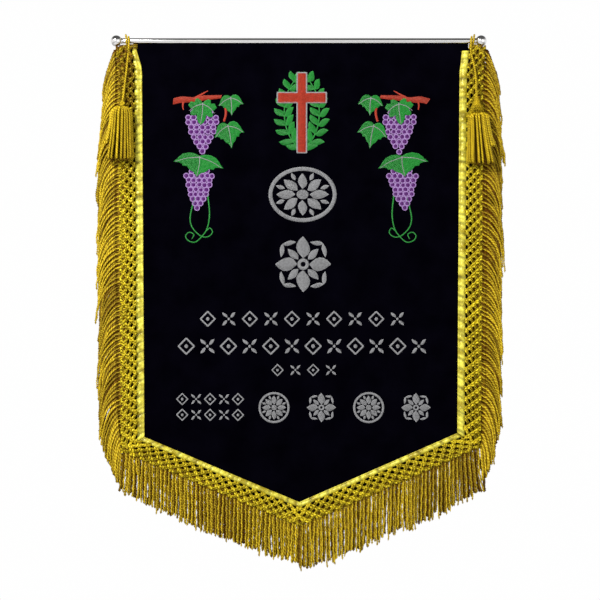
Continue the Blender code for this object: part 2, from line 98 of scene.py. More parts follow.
class ClothDepth:
    """The depth (Y) of the panel's middle, read from its CAD solid on a grid."""

    STEP = 0.010
    EDGE = 0.0008       # how far inside the panel's edges the outermost columns lie

    def __init__(self, node):
        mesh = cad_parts[node].data
        tree = BVHTree.FromPolygons(
            [vert.co for vert in mesh.vertices],
            [tuple(face.vertices) for face in mesh.polygons])
        low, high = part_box(node)
        self.x = np.linspace(low[0] + self.EDGE, high[0] - self.EDGE,
                             int((high[0] - low[0]) / self.STEP))
        self.z = np.linspace(CLOTH_TOP, low[2], int(-low[2] / self.STEP))[::-1]
        self.y = np.zeros((len(self.x), len(self.z)))
        for i, x in enumerate(self.x):
            last = None
            for j in range(len(self.z) - 1, -1, -1):
                z = self.z[j]
                front = tree.ray_cast(Vector((x, -1.0, z)), Vector((0.0, 1.0, 0.0)))[0]
                back = tree.ray_cast(Vector((x, 1.0, z)), Vector((0.0, -1.0, 0.0)))[0]
                if front is not None:
                    self.y[i, j] = (front.y + back.y) / 2
                    last = (z, self.y[i, j])
                else:
                    # Below the pointed hem the swing goes on in line with the cloth above.
                    self.y[i, j] = last[1] * z / last[0]

    def __call__(self, x, z):
        """Depth at each x and z. Outside the panel its nearest edge is used."""
        x, z = np.broadcast_arrays(np.asarray(x, float), np.asarray(z, float))
        z_in = np.clip(z, self.z[0], self.z[-1])
        i = np.clip(np.searchsorted(self.x, x) - 1, 0, len(self.x) - 2)
        j = np.clip(np.searchsorted(self.z, z_in) - 1, 0, len(self.z) - 2)
        u = np.clip((x - self.x[i]) / (self.x[i + 1] - self.x[i]), 0, 1)
        v = np.clip((z_in - self.z[j]) / (self.z[j + 1] - self.z[j]), 0, 1)
        top = self.y[i, j] * (1 - u) + self.y[i + 1, j] * u
        bottom = self.y[i, j + 1] * (1 - u) + self.y[i + 1, j + 1] * u
        depth = top * (1 - v) + bottom * v
        return depth * np.clip(z / np.where(z_in == 0, 1, z_in), 0, 2)


cloth_depth = ClothDepth("banner_panel")

# --------------------------------------------------------------------------------- mesh helpers


def stacked(*parts):
    """Arrays broadcast together and stacked along a new last axis."""
    return np.stack(np.broadcast_arrays(*parts), axis=-1)


def add_object(name, data):
    """An object in the scene that holds the data."""
    made = bpy.data.objects.new(name, data)
    bpy.context.scene.collection.objects.link(made)
    return made


def mesh_object(name, points, faces, smooth=True, **attributes):
    """An object from arrays: faces is a list of index arrays with one row for each face."""
    mesh = bpy.data.meshes.new(name)
    points = np.asarray(points, np.float32).reshape(-1, 3)
    corners = np.concatenate([np.ravel(group) for group in faces]).astype(np.int32)
    totals = np.concatenate([np.full(len(group), np.shape(group)[1]) for group in faces])
    mesh.vertices.add(len(points))
    mesh.vertices.foreach_set("co", points.ravel())
    mesh.loops.add(len(corners))
    mesh.loops.foreach_set("vertex_index", corners)
    mesh.polygons.add(len(totals))
    mesh.polygons.foreach_set("loop_start", (np.cumsum(totals) - totals).astype(np.int32))
    mesh.polygons.foreach_set("loop_total", totals.astype(np.int32))
    mesh.update(calc_edges=True)
    mesh.validate()
    for key, values in attributes.items():
        values = np.asarray(values, np.float32).reshape(len(points), -1)
        kind, field = ("FLOAT_VECTOR", "vector") if values.shape[1] == 3 else ("FLOAT", "value")
        mesh.attributes.new(key, kind, "POINT").data.foreach_set(field, values.ravel())
    if smooth:
        mesh.shade_smooth()
    return add_object(name, mesh)


def finish_piece(piece, material, slot, *nodes):
    """Give a piece its material, and let it ride in place of its CAD nodes. The slot is not used.
    """
    piece.data.materials.append(material)
    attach(piece, "root")
    if nodes:
        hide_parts(*nodes)
    return piece


def grid_quads(rows, columns, wrap=False):
    """Quads between rows of points, each row holding columns points."""
    row, column = np.meshgrid(np.arange(rows - 1), np.arange(columns - (not wrap)),
                              indexing="ij")
    here, ahead = row * columns + column, row * columns + (column + 1) % columns
    return stacked(here, ahead, ahead + columns, here + columns).reshape(-1, 4)


def unit(vectors):
    """Vectors of length one."""
    return vectors / np.maximum(np.linalg.norm(vectors, axis=-1, keepdims=True), 1e-12)


def cord_mesh(name, lines, radius, twist_pitch, phases, tones, pinch, level=(0.0, 1.0, 0.0),
              sections=8, rounded=0.9):
    """Two-ply twisted cords along lines of the same number of points, as one mesh.

    The section has two lobes, parted by the pinch, that turn once every twist_pitch. It starts
    level with a direction, and its ends are rounded over a number of radii. Each vertex keeps
    ridge, how near it is to a ply's crest, which the yarn's colour turns into painted shade and
    highlight, tone, its cord's darkness, partly random and partly painted shade, and lay, its place
    along and round the cord.
    """
    lines = np.asarray(lines, float)
    count, stations, _ = lines.shape
    steps = np.linalg.norm(np.diff(lines, axis=1), axis=2)
    along = np.concatenate([np.zeros((count, 1)), np.cumsum(steps, axis=1)], axis=1)
    tangent = unit(np.gradient(lines, axis=1))
    across = unit(np.cross(tangent, level))
    out = np.cross(across, tangent)
    around = np.arange(sections) * TAU / sections
    radial = (1 - pinch) + pinch * np.cos(2 * around)
    spin = TAU * along / twist_pitch + np.asarray(phases)[:, None]
    angle = around + spin[:, :, None]
    radii = np.broadcast_to(radius, count)[:, None]
    from_end = np.minimum(along, along[:, -1:] - along) / radii
    swell = np.sqrt(np.clip(from_end / rounded, 0, 1)) * 0.88 + 0.12
    size = (radii * swell)[:, :, None] * radial
    rings = (lines[:, :, None, :]
             + (size * np.cos(angle))[..., None] * across[:, :, None, :]
             + (size * np.sin(angle))[..., None] * out[:, :, None, :])
    firsts = np.arange(count)[:, None] * stations * sections
    quads = grid_quads(stations, sections, wrap=True)[:, ::-1] + firsts[:, None]
    first_cap = np.arange(sections) + firsts
    last_cap = first_cap[:, ::-1] + (stations - 1) * sections
    shape = (count, stations, sections)
    tone = np.broadcast_to(np.asarray(tones)[:, None, None], shape)
    ridge = np.broadcast_to(np.cos(2 * around) * 0.5 + 0.5, shape)
    return mesh_object(name, rings, [quads.reshape(-1, 4), first_cap, last_cap], ridge=ridge,
                       tone=tone, lay=stacked(along[:, :, None], around / TAU, tone))


# ------------------------------------------------------------------------------------ materials


def new_material(name, **settings):
    """A Principled material. Settings name its sockets, with _ for a space."""
    material = bpy.data.materials.new(name)
    material.use_nodes = True
    shader = material.node_tree.nodes["Principled BSDF"]
    for key, value in settings.items():
        shader.inputs[key.replace("_", " ")].default_value = value
    return material, material.node_tree, shader


def add_node(tree, kind, inputs, output=0, **properties):
    """The output of a new node with its properties set and its inputs set or linked."""
    node = tree.nodes.new(kind)
    for key, value in properties.items():
        setattr(node, key, value)
    for key, value in inputs.items():
        if isinstance(value, bpy.types.NodeSocket):
            tree.links.new(value, node.inputs[key])
        else:
            node.inputs[key].default_value = value
    return node.outputs[output]


def attribute(tree, name, output="Fac"):
    """A value that the mesh keeps at its vertices."""
    return add_node(tree, "ShaderNodeAttribute", {}, output, attribute_name=name)


def coordinates(tree, output="Object"):
    """Where a point lies on the object."""
    return add_node(tree, "ShaderNodeTexCoord", {}, output)


def noise(tree, where, scale, detail=2.0):
    """Soft random marks."""
    return add_node(tree, "ShaderNodeTexNoise",
                    {"Vector": where, "Scale": scale, "Detail": detail}, "Fac")


def cross_bands(tree, scale, distortion):
    """Fine bands across the lie of a cord or ribbon."""
    return add_node(tree, "ShaderNodeTexWave",
                    {"Vector": attribute(tree, "lay", "Vector"), "Scale": scale,
                     "Distortion": distortion}, "Fac", wave_type="BANDS", bands_direction="X")


def remap(tree, value, low, high, to_low=0.0, to_high=1.0):
    """A value between low and high, moved to lie between to_low and to_high."""
    return add_node(tree, "ShaderNodeMapRange", {
        "Value": value, "From Min": low, "From Max": high, "To Min": to_low,
        "To Max": to_high}, "Result")


def scaled(tree, colour, amount):
    """A colour made darker or lighter."""
    return add_node(tree, "ShaderNodeVectorMath", {0: colour, "Scale": amount},
                    operation="SCALE")


def ramp(tree, factor, *stops):
    """A colour ramp through (position, (r, g, b)) stops."""
    colour = add_node(tree, "ShaderNodeValToRGB", {"Fac": factor}, "Color")
    elements = colour.node.color_ramp.elements
    while len(elements) < len(stops):
        elements.new(0.5)
    for element, (position, shade) in zip(elements, stops):
        element.position = position
        element.color = (*shade, 1.0)
    return colour


def bump_to(tree, shader, height, strength, distance, **below):
    """Bump from a height, and from the Normal of a bump below it."""
    normal = add_node(tree, "ShaderNodeBump", {
        "Height": height, "Strength": strength, "Distance": distance, **below}, "Normal")
    tree.links.new(normal, shader.inputs["Normal"])
    return normal


def yarn_material(name, groove, middle, crest, deepest):
    """Lustrous twisted yarn, painted darker in the grooves between its plies and lighter on their
    crests: painted shade and highlight. Deepest multiplies the colour of the cords with the darkest
    tone, which carries painted shade.
    """
    material, tree, shader = new_material(
        name, Roughness=0.5, Specular_IOR_Level=0.35, Specular_Tint=(1.0, 0.80, 0.25, 1.0))
    # Painted shade in the grooves between the plies and painted highlight on their crests.
    colour = ramp(tree, attribute(tree, "ridge"), (0.05, groove), (0.45, middle), (0.95, crest))
    halfway = tuple(0.30 + 0.45 * value for value in deepest)
    # The cords' tone, partly random and partly painted shade, darkens the colour down to deepest.
    shade = ramp(tree, remap(tree, attribute(tree, "tone"), -1.0, 1.0),
                 (0.0, deepest), (0.5, halfway), (1.0, (1.0, 1.0, 1.0)))
    toned = add_node(tree, "ShaderNodeVectorMath", {0: colour, 1: shade}, operation="MULTIPLY")
    mottle = remap(tree, noise(tree, coordinates(tree), 150.0, 3.0), 0.3, 0.7, 0.72, 1.15)
    tree.links.new(scaled(tree, toned, mottle), shader.inputs["Base Color"])
    bump_to(tree, shader, cross_bands(tree, 260.0, 1.5), 0.35, 0.0002)
    return material


def satin_material(name, colour_low, colour_high):
    """Satin ribbon: smooth with fine cross ribs, creases and a broad sheen. Its colour is darker in
    the puckers' hollows, painted shade.
    """
    material, tree, shader = new_material(
        name, Roughness=0.34, Specular_IOR_Level=0.8, Specular_Tint=(1.0, 0.95, 0.45, 1.0))
    colour = ramp(tree, noise(tree, coordinates(tree), 70.0, 4.0),
                  (0.36, colour_low), (0.60, colour_high))
    # Painted shade: the colour darkens in the puckers' hollows and lightens a little on their
    # crests.
    painted_hollow_shade = remap(tree, attribute(tree, "pucker"), -0.75, 0.1, 0.45, 1.08)
    tree.links.new(scaled(tree, colour, painted_hollow_shade), shader.inputs["Base Color"])
    ribs = bump_to(tree, shader, cross_bands(tree, 400.0, 1.0), 0.25, 0.0001)
    bump_to(tree, shader, noise(tree, coordinates(tree), 260.0), 0.7, 0.0014, Normal=ribs)
    return material


def thread_material(name, colour, tint):
    """Embroidery floss: fine shine along each stitch."""
    material, tree, shader = new_material(
        name, Roughness=0.42, Specular_IOR_Level=0.5, Specular_Tint=(*tint, 1.0))
    mottle = noise(tree, coordinates(tree), 320.0, 3.0)
    dark = tuple(0.72 * value for value in colour)
    tree.links.new(ramp(tree, mottle, (0.3, dark), (0.65, colour)), shader.inputs["Base Color"])
    bump_to(tree, shader, mottle, 0.3, 0.0003)
    return material


def velvet_material():
    """Black pile cloth: almost no diffuse light and a faint bluish sheen."""
    material, tree, shader = new_material(
        "black_velvet", Roughness=0.95, Sheen_Weight=0.006, Sheen_Roughness=0.5,
        Sheen_Tint=(0.35, 0.4, 1.0, 1.0), Specular_IOR_Level=0.0)
    colour = ramp(tree, noise(tree, coordinates(tree), 22.0, 4.0),
                  (0.3, (0.0004, 0.0003, 0.0010)), (0.7, (0.0010, 0.0008, 0.0022)))
    tree.links.new(colour, shader.inputs["Base Color"])
    bump_to(tree, shader, noise(tree, coordinates(tree), 1400.0), 0.6, 0.0004)
    return material


def chrome_material():
    """Polished chrome with faint wiping marks."""
    material, tree, shader = new_material(
        "polished_chrome", Metallic=1.0, Base_Color=(0.80, 0.79, 0.78, 1.0))
    stretched = add_node(tree, "ShaderNodeMapping",
                         {"Vector": coordinates(tree), "Scale": (12.0, 260.0, 260.0)})
    marks = noise(tree, stretched, 1.0, 3.0)
    tree.links.new(remap(tree, marks, 0.3, 0.7, 0.11, 0.20), shader.inputs["Roughness"])
    bump_to(tree, shader, marks, 0.05, 0.0002)
    return material


# Each yarn's groove, middle and crest colours paint shade and highlight across the plies; deepest
# is its painted shade at the lowest tone.
fringe_yarn = yarn_material("gold_fringe_yarn", (0.31, 0.16, 0.002), (0.47, 0.32, 0.007),
                            (0.74, 0.57, 0.035), deepest=(0.17, 0.075, 0.03))
net_yarn = yarn_material("gold_net_yarn", (0.38, 0.24, 0.002), (0.59, 0.45, 0.008),
                         (0.88, 0.73, 0.045), deepest=(0.16, 0.07, 0.03))
tassel_yarn = yarn_material("gold_tassel_yarn", (0.26, 0.13, 0.001), (0.50, 0.34, 0.005),
                            (0.78, 0.60, 0.026), deepest=(0.15, 0.07, 0.03))
satin = satin_material("gold_satin", (0.29, 0.22, 0.004), (0.64, 0.58, 0.060))
THREADS = {
    "red": thread_material("red_floss", (0.34, 0.030, 0.014), (1.0, 0.5, 0.4)),
    "green": thread_material("green_floss", (0.008, 0.190, 0.022), (0.6, 1.0, 0.6)),
    "purple": thread_material("purple_floss", (0.075, 0.008, 0.115), (0.8, 0.5, 1.0)),
    "lilac": thread_material("lilac_floss", (0.27, 0.155, 0.36), (0.9, 0.8, 1.0)),
    "silver": thread_material("silver_floss", (0.215, 0.215, 0.22), (1.0, 1.0, 1.0)),
}
velvet = velvet_material()
chrome = chrome_material()

# -------------------------------------------------------------------------- camera, light, floor

VIEW_SPAN = 1.032             # width of the picture at the rod, in metres
SENSOR_WIDTH = 36.0
CAMERA_PLACE = (-0.0014, -4.0, -0.4455)
BANNER_MIDDLE = (0.0, 0.0, -0.40)
FLOOR_Z = -1.62
FLOOR_RADIUS = 3.0
FLOOR_STEPS = 96


def build_camera():
    """A long lens in front of the banner, level with its middle."""
    data = bpy.data.cameras.new("front_camera")
    data.sensor_width = SENSOR_WIDTH
    data.lens = SENSOR_WIDTH * -CAMERA_PLACE[1] / VIEW_SPAN
    camera = add_object("front_camera", data)
    camera.location = CAMERA_PLACE
    camera.rotation_euler = (math.radians(90), 0.0, 0.0)
    bpy.context.scene.camera = camera


def area_light(name, location, size, power):
    """A soft square light that faces the banner's middle."""
    data = bpy.data.lights.new(name, "AREA")
    data.size = size
    data.energy = power
    light = add_object(name, data)
    light.location = location
    towards = Vector(BANNER_MIDDLE) - Vector(location)
    light.rotation_euler = towards.to_track_quat("-Z", "Y").to_euler()


def build_studio():
    """A pale floor far below, a pale room that darkens above and below, and two soft lights."""
    world = bpy.data.worlds.new("studio")
    bpy.context.scene.world = world
    world.use_nodes = True
    tree = world.node_tree
    background = tree.nodes["Background"]
    height = add_node(tree, "ShaderNodeSeparateXYZ", {0: coordinates(tree, "Generated")}, "Z")
    slope = add_node(tree, "ShaderNodeMath", {0: height}, operation="ABSOLUTE")
    colour = ramp(tree, slope, (0.22, (0.995, 0.995, 0.995)), (0.66, (0.10, 0.10, 0.10)))
    tree.links.new(colour, background.inputs["Color"])
    background.inputs["Strength"].default_value = 1.0
    area_light("key_light", (-1.3, -2.0, 1.2), 0.5, 105.0)
    area_light("fill_light", (1.8, -2.4, 0.2), 1.2, 14.0)
    around = np.arange(FLOOR_STEPS) * TAU / FLOOR_STEPS
    rim = stacked(np.cos(around) * FLOOR_RADIUS, np.sin(around) * FLOOR_RADIUS, FLOOR_Z)
    floor = mesh_object("floor", rim, [np.arange(FLOOR_STEPS)[None]], smooth=False)
    material, tree, shader = new_material("floor_paint", Roughness=0.8)
    tint = ramp(tree, noise(tree, coordinates(tree), 6.0),
                (0.3, (0.80, 0.80, 0.80)), (0.7, (0.84, 0.84, 0.84)))
    tree.links.new(tint, shader.inputs["Base Color"])
    floor.data.materials.append(material)


build_camera()
build_studio()
bpy.context.scene.view_settings.view_transform = "Standard"

# ------------------------------------------------------------------------------ rod and finials

ROD_WALL = 0.0012
ROD_SLOT = 0.0030
ROD_EDGE = 0.0003       # rounding of the slot's lips and of the tube's ends
ROUND_STEPS = 72
COLLAR_RADIUS = 0.0050
SHARP_METAL = math.radians(35)
SHARP_CLOTH = math.radians(50)


def build_rod():
    """The slotted tube, with a fine round section."""
    low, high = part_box("rod")
    outer = high[2]
    inner = outer - ROD_WALL
    outer_lip = math.asin((ROD_SLOT / 2 + ROD_EDGE) / outer)
    inner_lip = math.asin(ROD_SLOT / 2 / inner)
    angles = np.concatenate([np.linspace(outer_lip, TAU - outer_lip, ROUND_STEPS),
                             np.linspace(TAU - inner_lip, inner_lip, ROUND_STEPS)])
    radii = np.repeat([outer, inner], ROUND_STEPS)
    ends = np.array([low[0], low[0] + ROD_EDGE, high[0] - ROD_EDGE, high[0]])[:, None]
    shrink = np.array([0.985, 1.0, 1.0, 0.985])[:, None]
    points = stacked(ends, -radii * np.sin(angles) * shrink, -radii * np.cos(angles) * shrink)
    rows, count = points.shape[:2]
    # Each end is a C-shaped ring of quads between the outside and the inside.
    first = np.arange(count // 2 - 1)
    pairs = stacked(first, first + 1, count - 2 - first, count - 1 - first)
    rod = mesh_object("rod_tube", points, [grid_quads(rows, count, wrap=True)[:, ::-1], pairs,
                                           pairs[:, ::-1] + count * (rows - 1)])
    rod.data.set_sharp_from_angle(angle=SHARP_METAL)
    finish_piece(rod, chrome, "chrome", "rod")


def build_finials():
    """A collar and a polished ball at each end."""
    around = np.arange(ROUND_STEPS) * TAU / ROUND_STEPS
    step = np.arange(ROUND_STEPS)
    ahead = (step + 1) % ROUND_STEPS
    for name, sign in SIDES:
        low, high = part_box(f"finial_{name}")
        radius = high[2]
        inner_x, outer_x = (low[0], high[0]) if sign > 0 else (-high[0], -low[0])
        centre = outer_x - radius
        start = math.pi - math.asin(COLLAR_RADIUS / radius)
        profile = [(inner_x, COLLAR_RADIUS * 0.94), (inner_x + ROD_EDGE, COLLAR_RADIUS),
                   (centre + radius * math.cos(start) - 0.0004, COLLAR_RADIUS)]
        profile += [(centre + radius * math.cos(a), radius * math.sin(a))
                    for a in np.linspace(start, 0.0, 40)[:-1]]
        x, r = np.array(profile).T[:, :, None]
        points = stacked(sign * x, r * np.cos(around), r * np.sin(around)).reshape(-1, 3)
        end = len(points) - ROUND_STEPS
        hub, tip = len(points), len(points) + 1
        points = np.concatenate([points, [[sign * inner_x, 0, 0], [sign * outer_x, 0, 0]]])
        faces = [grid_quads(len(profile), ROUND_STEPS, wrap=True), stacked(ahead, step, hub),
                 stacked(step + end, ahead + end, tip)]
        if sign > 0:
            faces = [group[:, ::-1] for group in faces]
        ball = mesh_object(f"finial_ball_{name}", points, faces)
        ball.data.set_sharp_from_angle(angle=SHARP_METAL)
        finish_piece(ball, chrome, "chrome", f"finial_{name}")


build_rod()
build_finials()

# ------------------------------------------------------------------------------------ the panel

PANEL_HALF_THICKNESS = 0.0010
PANEL_STEP = 0.0065
HEM_ARC = (14, 160)      # degrees of the bead's round that the cloth covers
HEM_STEPS = 9
HEM_NECK = (-0.0036, -0.0060, -0.0090)      # heights of the cloth between the bead and the fall
SHOULDER = -0.0125       # height at which the cloth spreads to its full width


def build_panel():
    """The velvet sheet with its fine folds, and the bead of its top hem inside the rod."""
    low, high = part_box("banner_panel")
    bead = high[2]
    hem_half = Silhouette("banner_panel", across=0, along=2).at(HEM_NECK[1])[1][0]
    columns = np.linspace(low[0], high[0], int((high[0] - low[0]) / PANEL_STEP))
    columns = np.unique(np.concatenate([columns, [-hem_half, hem_half]]))
    bottoms = Silhouette("banner_panel", across=2, along=0).at(columns)[0]
    hem_angles = np.radians(np.linspace(*HEM_ARC, HEM_STEPS))
    hem_z = np.concatenate([bead * np.cos(hem_angles), HEM_NECK])
    rows = int((SHOULDER - low[2]) / PANEL_STEP)
    share = np.linspace(0, 1, rows)[:, None]
    z = np.concatenate([np.broadcast_to(hem_z[:, None], (len(hem_z), len(columns))),
                        SHOULDER + share * (bottoms - SHOULDER)])
    half = np.full((len(z), 1), PANEL_HALF_THICKNESS)
    half[:len(hem_angles), 0] = np.maximum(bead * np.sin(hem_angles), PANEL_HALF_THICKNESS)
    depth = np.where(z > CLOTH_TOP,
                     cloth_depth(columns, CLOTH_TOP) * np.clip(z / CLOTH_TOP, 0, 1),
                     cloth_depth(columns, z))
    quads = grid_quads(len(z), len(columns))
    row, column = np.divmod(quads[:, 0], len(columns))
    inside = (columns[column] >= -hem_half - 1e-9) & (columns[column] < hem_half - 1e-9)
    quads = quads[inside | (row >= len(hem_z))]
    edges = np.concatenate([quads[:, (i, (i + 1) % 4)] for i in range(4)])
    keys = {tuple(edge) for edge in edges.tolist()}
    rim = sorted((b, a, a + z.size, b + z.size) for a, b in keys if (b, a) not in keys)
    points = np.stack([stacked(columns, depth - half, z), stacked(columns, depth + half, z)])
    sheet = mesh_object("velvet_panel", points, [quads[:, ::-1], quads + z.size,
                                                 np.array(rim)[:, ::-1]])
    sheet.data.set_sharp_from_angle(angle=SHARP_CLOTH)
    return finish_piece(sheet, velvet, "velvet", "banner_panel")


panel = build_panel()

# ------------------------------------------------------------------------- strips along an edge


class Strip:
    """A flat trim node as a patch: t runs along it and c across it, from its inner edge out."""

    SAMPLES = 240

    def __init__(self, part, side, sign):
        node = f"{part}_{side}"
        low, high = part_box(node)
        share = np.linspace(0, 1, self.SAMPLES)
        if part.endswith("lower"):
            # From the banner's tip out to the corner, with the inner edge on top.
            outline = Silhouette(node, across=2, along=0)
            tip, outer_end = (low[0], high[0]) if sign > 0 else (high[0], low[0])
            points, _ = node_arrays(node)
            inner_x = tip + share * (points[points[:, 2].argmax(), 0] - tip)
            outer_x = tip + share * (outer_end - tip)
            self.inner = stacked(inner_x, outline.at(inner_x)[1])
            self.outer = stacked(outer_x, outline.at(outer_x)[0])
        else:
            # From the head down to the corner, with the inner edge towards the middle.
            outline = Silhouette(node, across=0, along=2)
            inner_end = (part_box(f"tape_lower_{side}")[1][2] if part == "tape"
                         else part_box(f"tape_{side}")[0][2])
            inner_z = high[2] + share * (inner_end - high[2])
            outer_z = high[2] + share * (low[2] - high[2])
            within, beyond = (0, 1) if sign > 0 else (1, 0)
            self.inner = stacked(outline.at(inner_z)[within], inner_z)
            self.outer = stacked(outline.at(outer_z)[beyond], outer_z)
        self.length = np.linalg.norm(np.diff(self.inner, axis=0), axis=1).sum()

    def at(self, t, c):
        """x and z at places on the patch."""
        t, c = np.broadcast_arrays(np.asarray(t, float), np.asarray(c, float))
        place = np.clip(t, 0, 1) * (self.SAMPLES - 1)
        lower = np.minimum(place.astype(int), self.SAMPLES - 2)
        share = (place - lower)[..., None]
        inner = self.inner[lower] * (1 - share) + self.inner[lower + 1] * share
        outer = self.outer[lower] * (1 - share) + self.outer[lower + 1] * share
        return inner + (outer - inner) * c[..., None]


PANEL_FRONT = PANEL_HALF_THICKNESS + 0.0004      # where the trim's back lies


def on_cloth(flat, in_front):
    """Points at (x, z) places, a distance in front of the cloth's middle."""
    x, z = flat[..., 0], flat[..., 1]
    return stacked(x, cloth_depth(x, z) - in_front, z)


def loop_faces(loops, part, sign):
    """Faces over rows of closed loops of points and over both ends, facing outwards."""
    stations, count = loops.shape[:2]
    end = np.arange(count)[None]
    faces = [grid_quads(stations, count, wrap=True), end[:, ::-1], end + count * (stations - 1)]
    clockwise = sign < 0 if part.endswith("lower") else sign > 0
    return [group[:, ::-1] for group in faces] if clockwise else faces


TAPE_THICKNESS = 0.0026
TAPE_STEP = 0.0018
# The tape's section from its inner edge out: a narrow corded edge, a groove, a broad crown.
TAPE_ACROSS = np.array([0.0, 0.04, 0.11, 0.19, 0.27, 0.36, 0.48, 0.62, 0.75, 0.87, 0.96, 1.0])
TAPE_CROWN = np.array([0.0, 0.55, 0.78, 0.60, 0.34, 0.62, 0.92, 1.0, 0.92, 0.72, 0.40, 0.0])
TAPE_PUFF = np.array([0.0, 0.0, 0.1, 0.1, 0.3, 0.8, 1.0, 1.0, 0.9, 0.6, 0.2, 0.0])
TAPE_TAPER = {"tape_left": (0.42, 0.045)}    # share of the width lost at the top, and how far
PUCKERS = ((0.034, 0.20), (0.0155, 0.36), (0.0083, 0.32))     # length and height of each wave
TAPE_SWAY = (0.029, 0.035)        # length of the edge's waves, and their share of the width


def build_tape(part, side, sign, seed):
    """A satin tape: a corded inner edge and a broad crown, puckered where it is sewn."""
    strip = Strip(part, side, sign)
    stations = int(strip.length / TAPE_STEP)
    t = np.linspace(0, 1, stations)
    draws = np.random.default_rng(seed)
    pucker = np.zeros(stations)
    for length, height in PUCKERS:
        phase = draws.uniform(0, TAU) + np.cumsum(draws.normal(0, 0.13, stations))
        pucker += height * np.sin(TAU * t * strip.length / length + phase)
    lost, reach = TAPE_TAPER.get(f"{part}_{side}", (0.0, 1.0))
    start = lost * np.clip(1 - t / reach, 0, 1)[:, None]
    sway_length, sway_share = TAPE_SWAY
    sway = sway_share * np.sin(TAU * t * strip.length / sway_length + draws.uniform(0, TAU))
    across = start + (1 - start) * TAPE_ACROSS
    across = across + sway[:, None] * TAPE_PUFF * (TAPE_ACROSS < 0.9)
    flat = strip.at(t[:, None], across)
    height = TAPE_THICKNESS * (0.80 * TAPE_CROWN + 0.70 * pucker[:, None] * TAPE_PUFF)
    front = on_cloth(flat, PANEL_FRONT + np.maximum(height, 0))
    back = on_cloth(flat, PANEL_FRONT)
    # The two skins share the edges' line, so the loop across goes front, then back.
    loops = np.concatenate([front, back[:, -2:0:-1]], axis=1)
    lay = np.zeros_like(loops)
    lay[..., 0] = (t * strip.length)[:, None]
    # The pucker attribute also paints shade into the tape's hollows.
    tape = mesh_object(f"satin_{part}_{side}", loops, loop_faces(loops, part, sign), lay=lay,
                       pucker=np.repeat(pucker, loops.shape[1]))
    return finish_piece(tape, satin, "satin_tape", f"{part}_{side}")


NET_CELL = 0.0170         # along the net, from one hole to the next in a row
NET_ROWS = 4.0            # holes across the net
NET_FIRST_HOLE = 0.105    # share of the width at the first row of holes
NET_SPAN = (-0.06, 1.03)  # shares of the width where each cord starts and ends
NET_SNAKE = 0.42          # how strongly a cord swings round the holes
NET_MIDDLE = 0.0072       # in front of the cloth's middle
NET_WEAVE = 0.0017
NET_TWIN = 0.00221        # half the distance between the two cords of a pair, along the net
NET_CORD_RADIUS = 0.0020
NET_TWIST = 0.0085
NET_STATIONS = 26
WAY_PAINTED_SHADE = (0.50, 0.90)   # tones of the cords of the lower slant and of the upper one: the lower ones, lying under at the knots, are darker, painted shade
HEAD_PAINTED_SHADOW = {"left": 1.10, "right": 0.60}      # how much darker the cords near the gathered head are painted, a painted shadow
HEAD_SHADOW_REACH = 0.21


def near_head(distance):
    """The share of the painted shadow near the head that is left at a distance from the head."""
    return np.clip(1.2 - distance / HEAD_SHADOW_REACH, 0, 1)


def build_net(part, side, sign, seed):
    """A net heading of paired cords on the slant. Those of one slant lie on top at each knot."""
    strip = Strip(part, side, sign)
    cells = round(strip.length / NET_CELL)
    cell = 1 / cells
    run = NET_ROWS / 2 * cell           # how far a cord goes along while crossing
    draws = np.random.default_rng(seed)
    lines, phases, tones = [], [], []
    top_way = sign if part.endswith("lower") else -sign
    offset = 0.25 - NET_FIRST_HOLE * NET_ROWS / 2
    # A cord may leave the net at either end, so cells beyond the ends are tried as well.
    for way, number, twin in itertools.product((-1, 1), range(-3, cells + 4), (-1, 1)):
        start = (number - way * offset) * cell
        aside = twin * NET_TWIN / strip.length + draws.normal(0, 0.0003 / strip.length)
        share = np.linspace(*NET_SPAN, NET_STATIONS)
        for trimmed in (False, True):
            knot = TAU * (share - NET_FIRST_HOLE) * NET_ROWS
            along = run * (share + NET_SNAKE * np.sin(knot) / (TAU * NET_ROWS))
            t = start + way * along + aside
            inside = np.flatnonzero((t > -0.004) & (t < 1.004))
            if len(inside) < 5 or trimmed:
                break
            share = np.linspace(share[inside[0]], share[inside[-1]], NET_STATIONS)
        if len(inside) < 5:
            continue
        t = np.clip(t, 0, 1)
        on_top = way == top_way
        lift = NET_MIDDLE - NET_WEAVE * np.cos(knot) * (1 if on_top else -1)
        lines.append(on_cloth(strip.at(t, share), lift))
        phases.append(draws.uniform(0, TAU))
        # A random tone, with painted shade on the cords that lie under at the knots.
        tone = 0.35 * draws.uniform(-1, 1) + WAY_PAINTED_SHADE[on_top]
        # Cords near the head get a painted shadow.
        if part == "net":
            tone -= HEAD_PAINTED_SHADOW[side] * near_head(strip.length * t.mean())
        tones.append(tone)
    net = cord_mesh(f"cord_{part}_{side}", lines, NET_CORD_RADIUS, NET_TWIST, phases,
                    tones=tones, sections=6, pinch=0.05)
    return finish_piece(net, net_yarn, "gold_net", f"{part}_{side}")


# Shares of the net's width: the band's inner edge at the head and elsewhere, its outer edge.
BAND_EDGES = {"net": (0.10, 0.38, 1.75), "net_lower": (0.46, 0.46, 1.10)}
BAND_ENDS = 1.03        # the outer edge at the head and at the corner
BAND_DEPTH = (0.0006, 0.0014)
BAND_STEP = 0.008
# The band's darkest tone and groove colour make it a sheet of painted shade.
BAND_PAINTED_SHADE = -1.0
BAND_RIDGE = 0.1


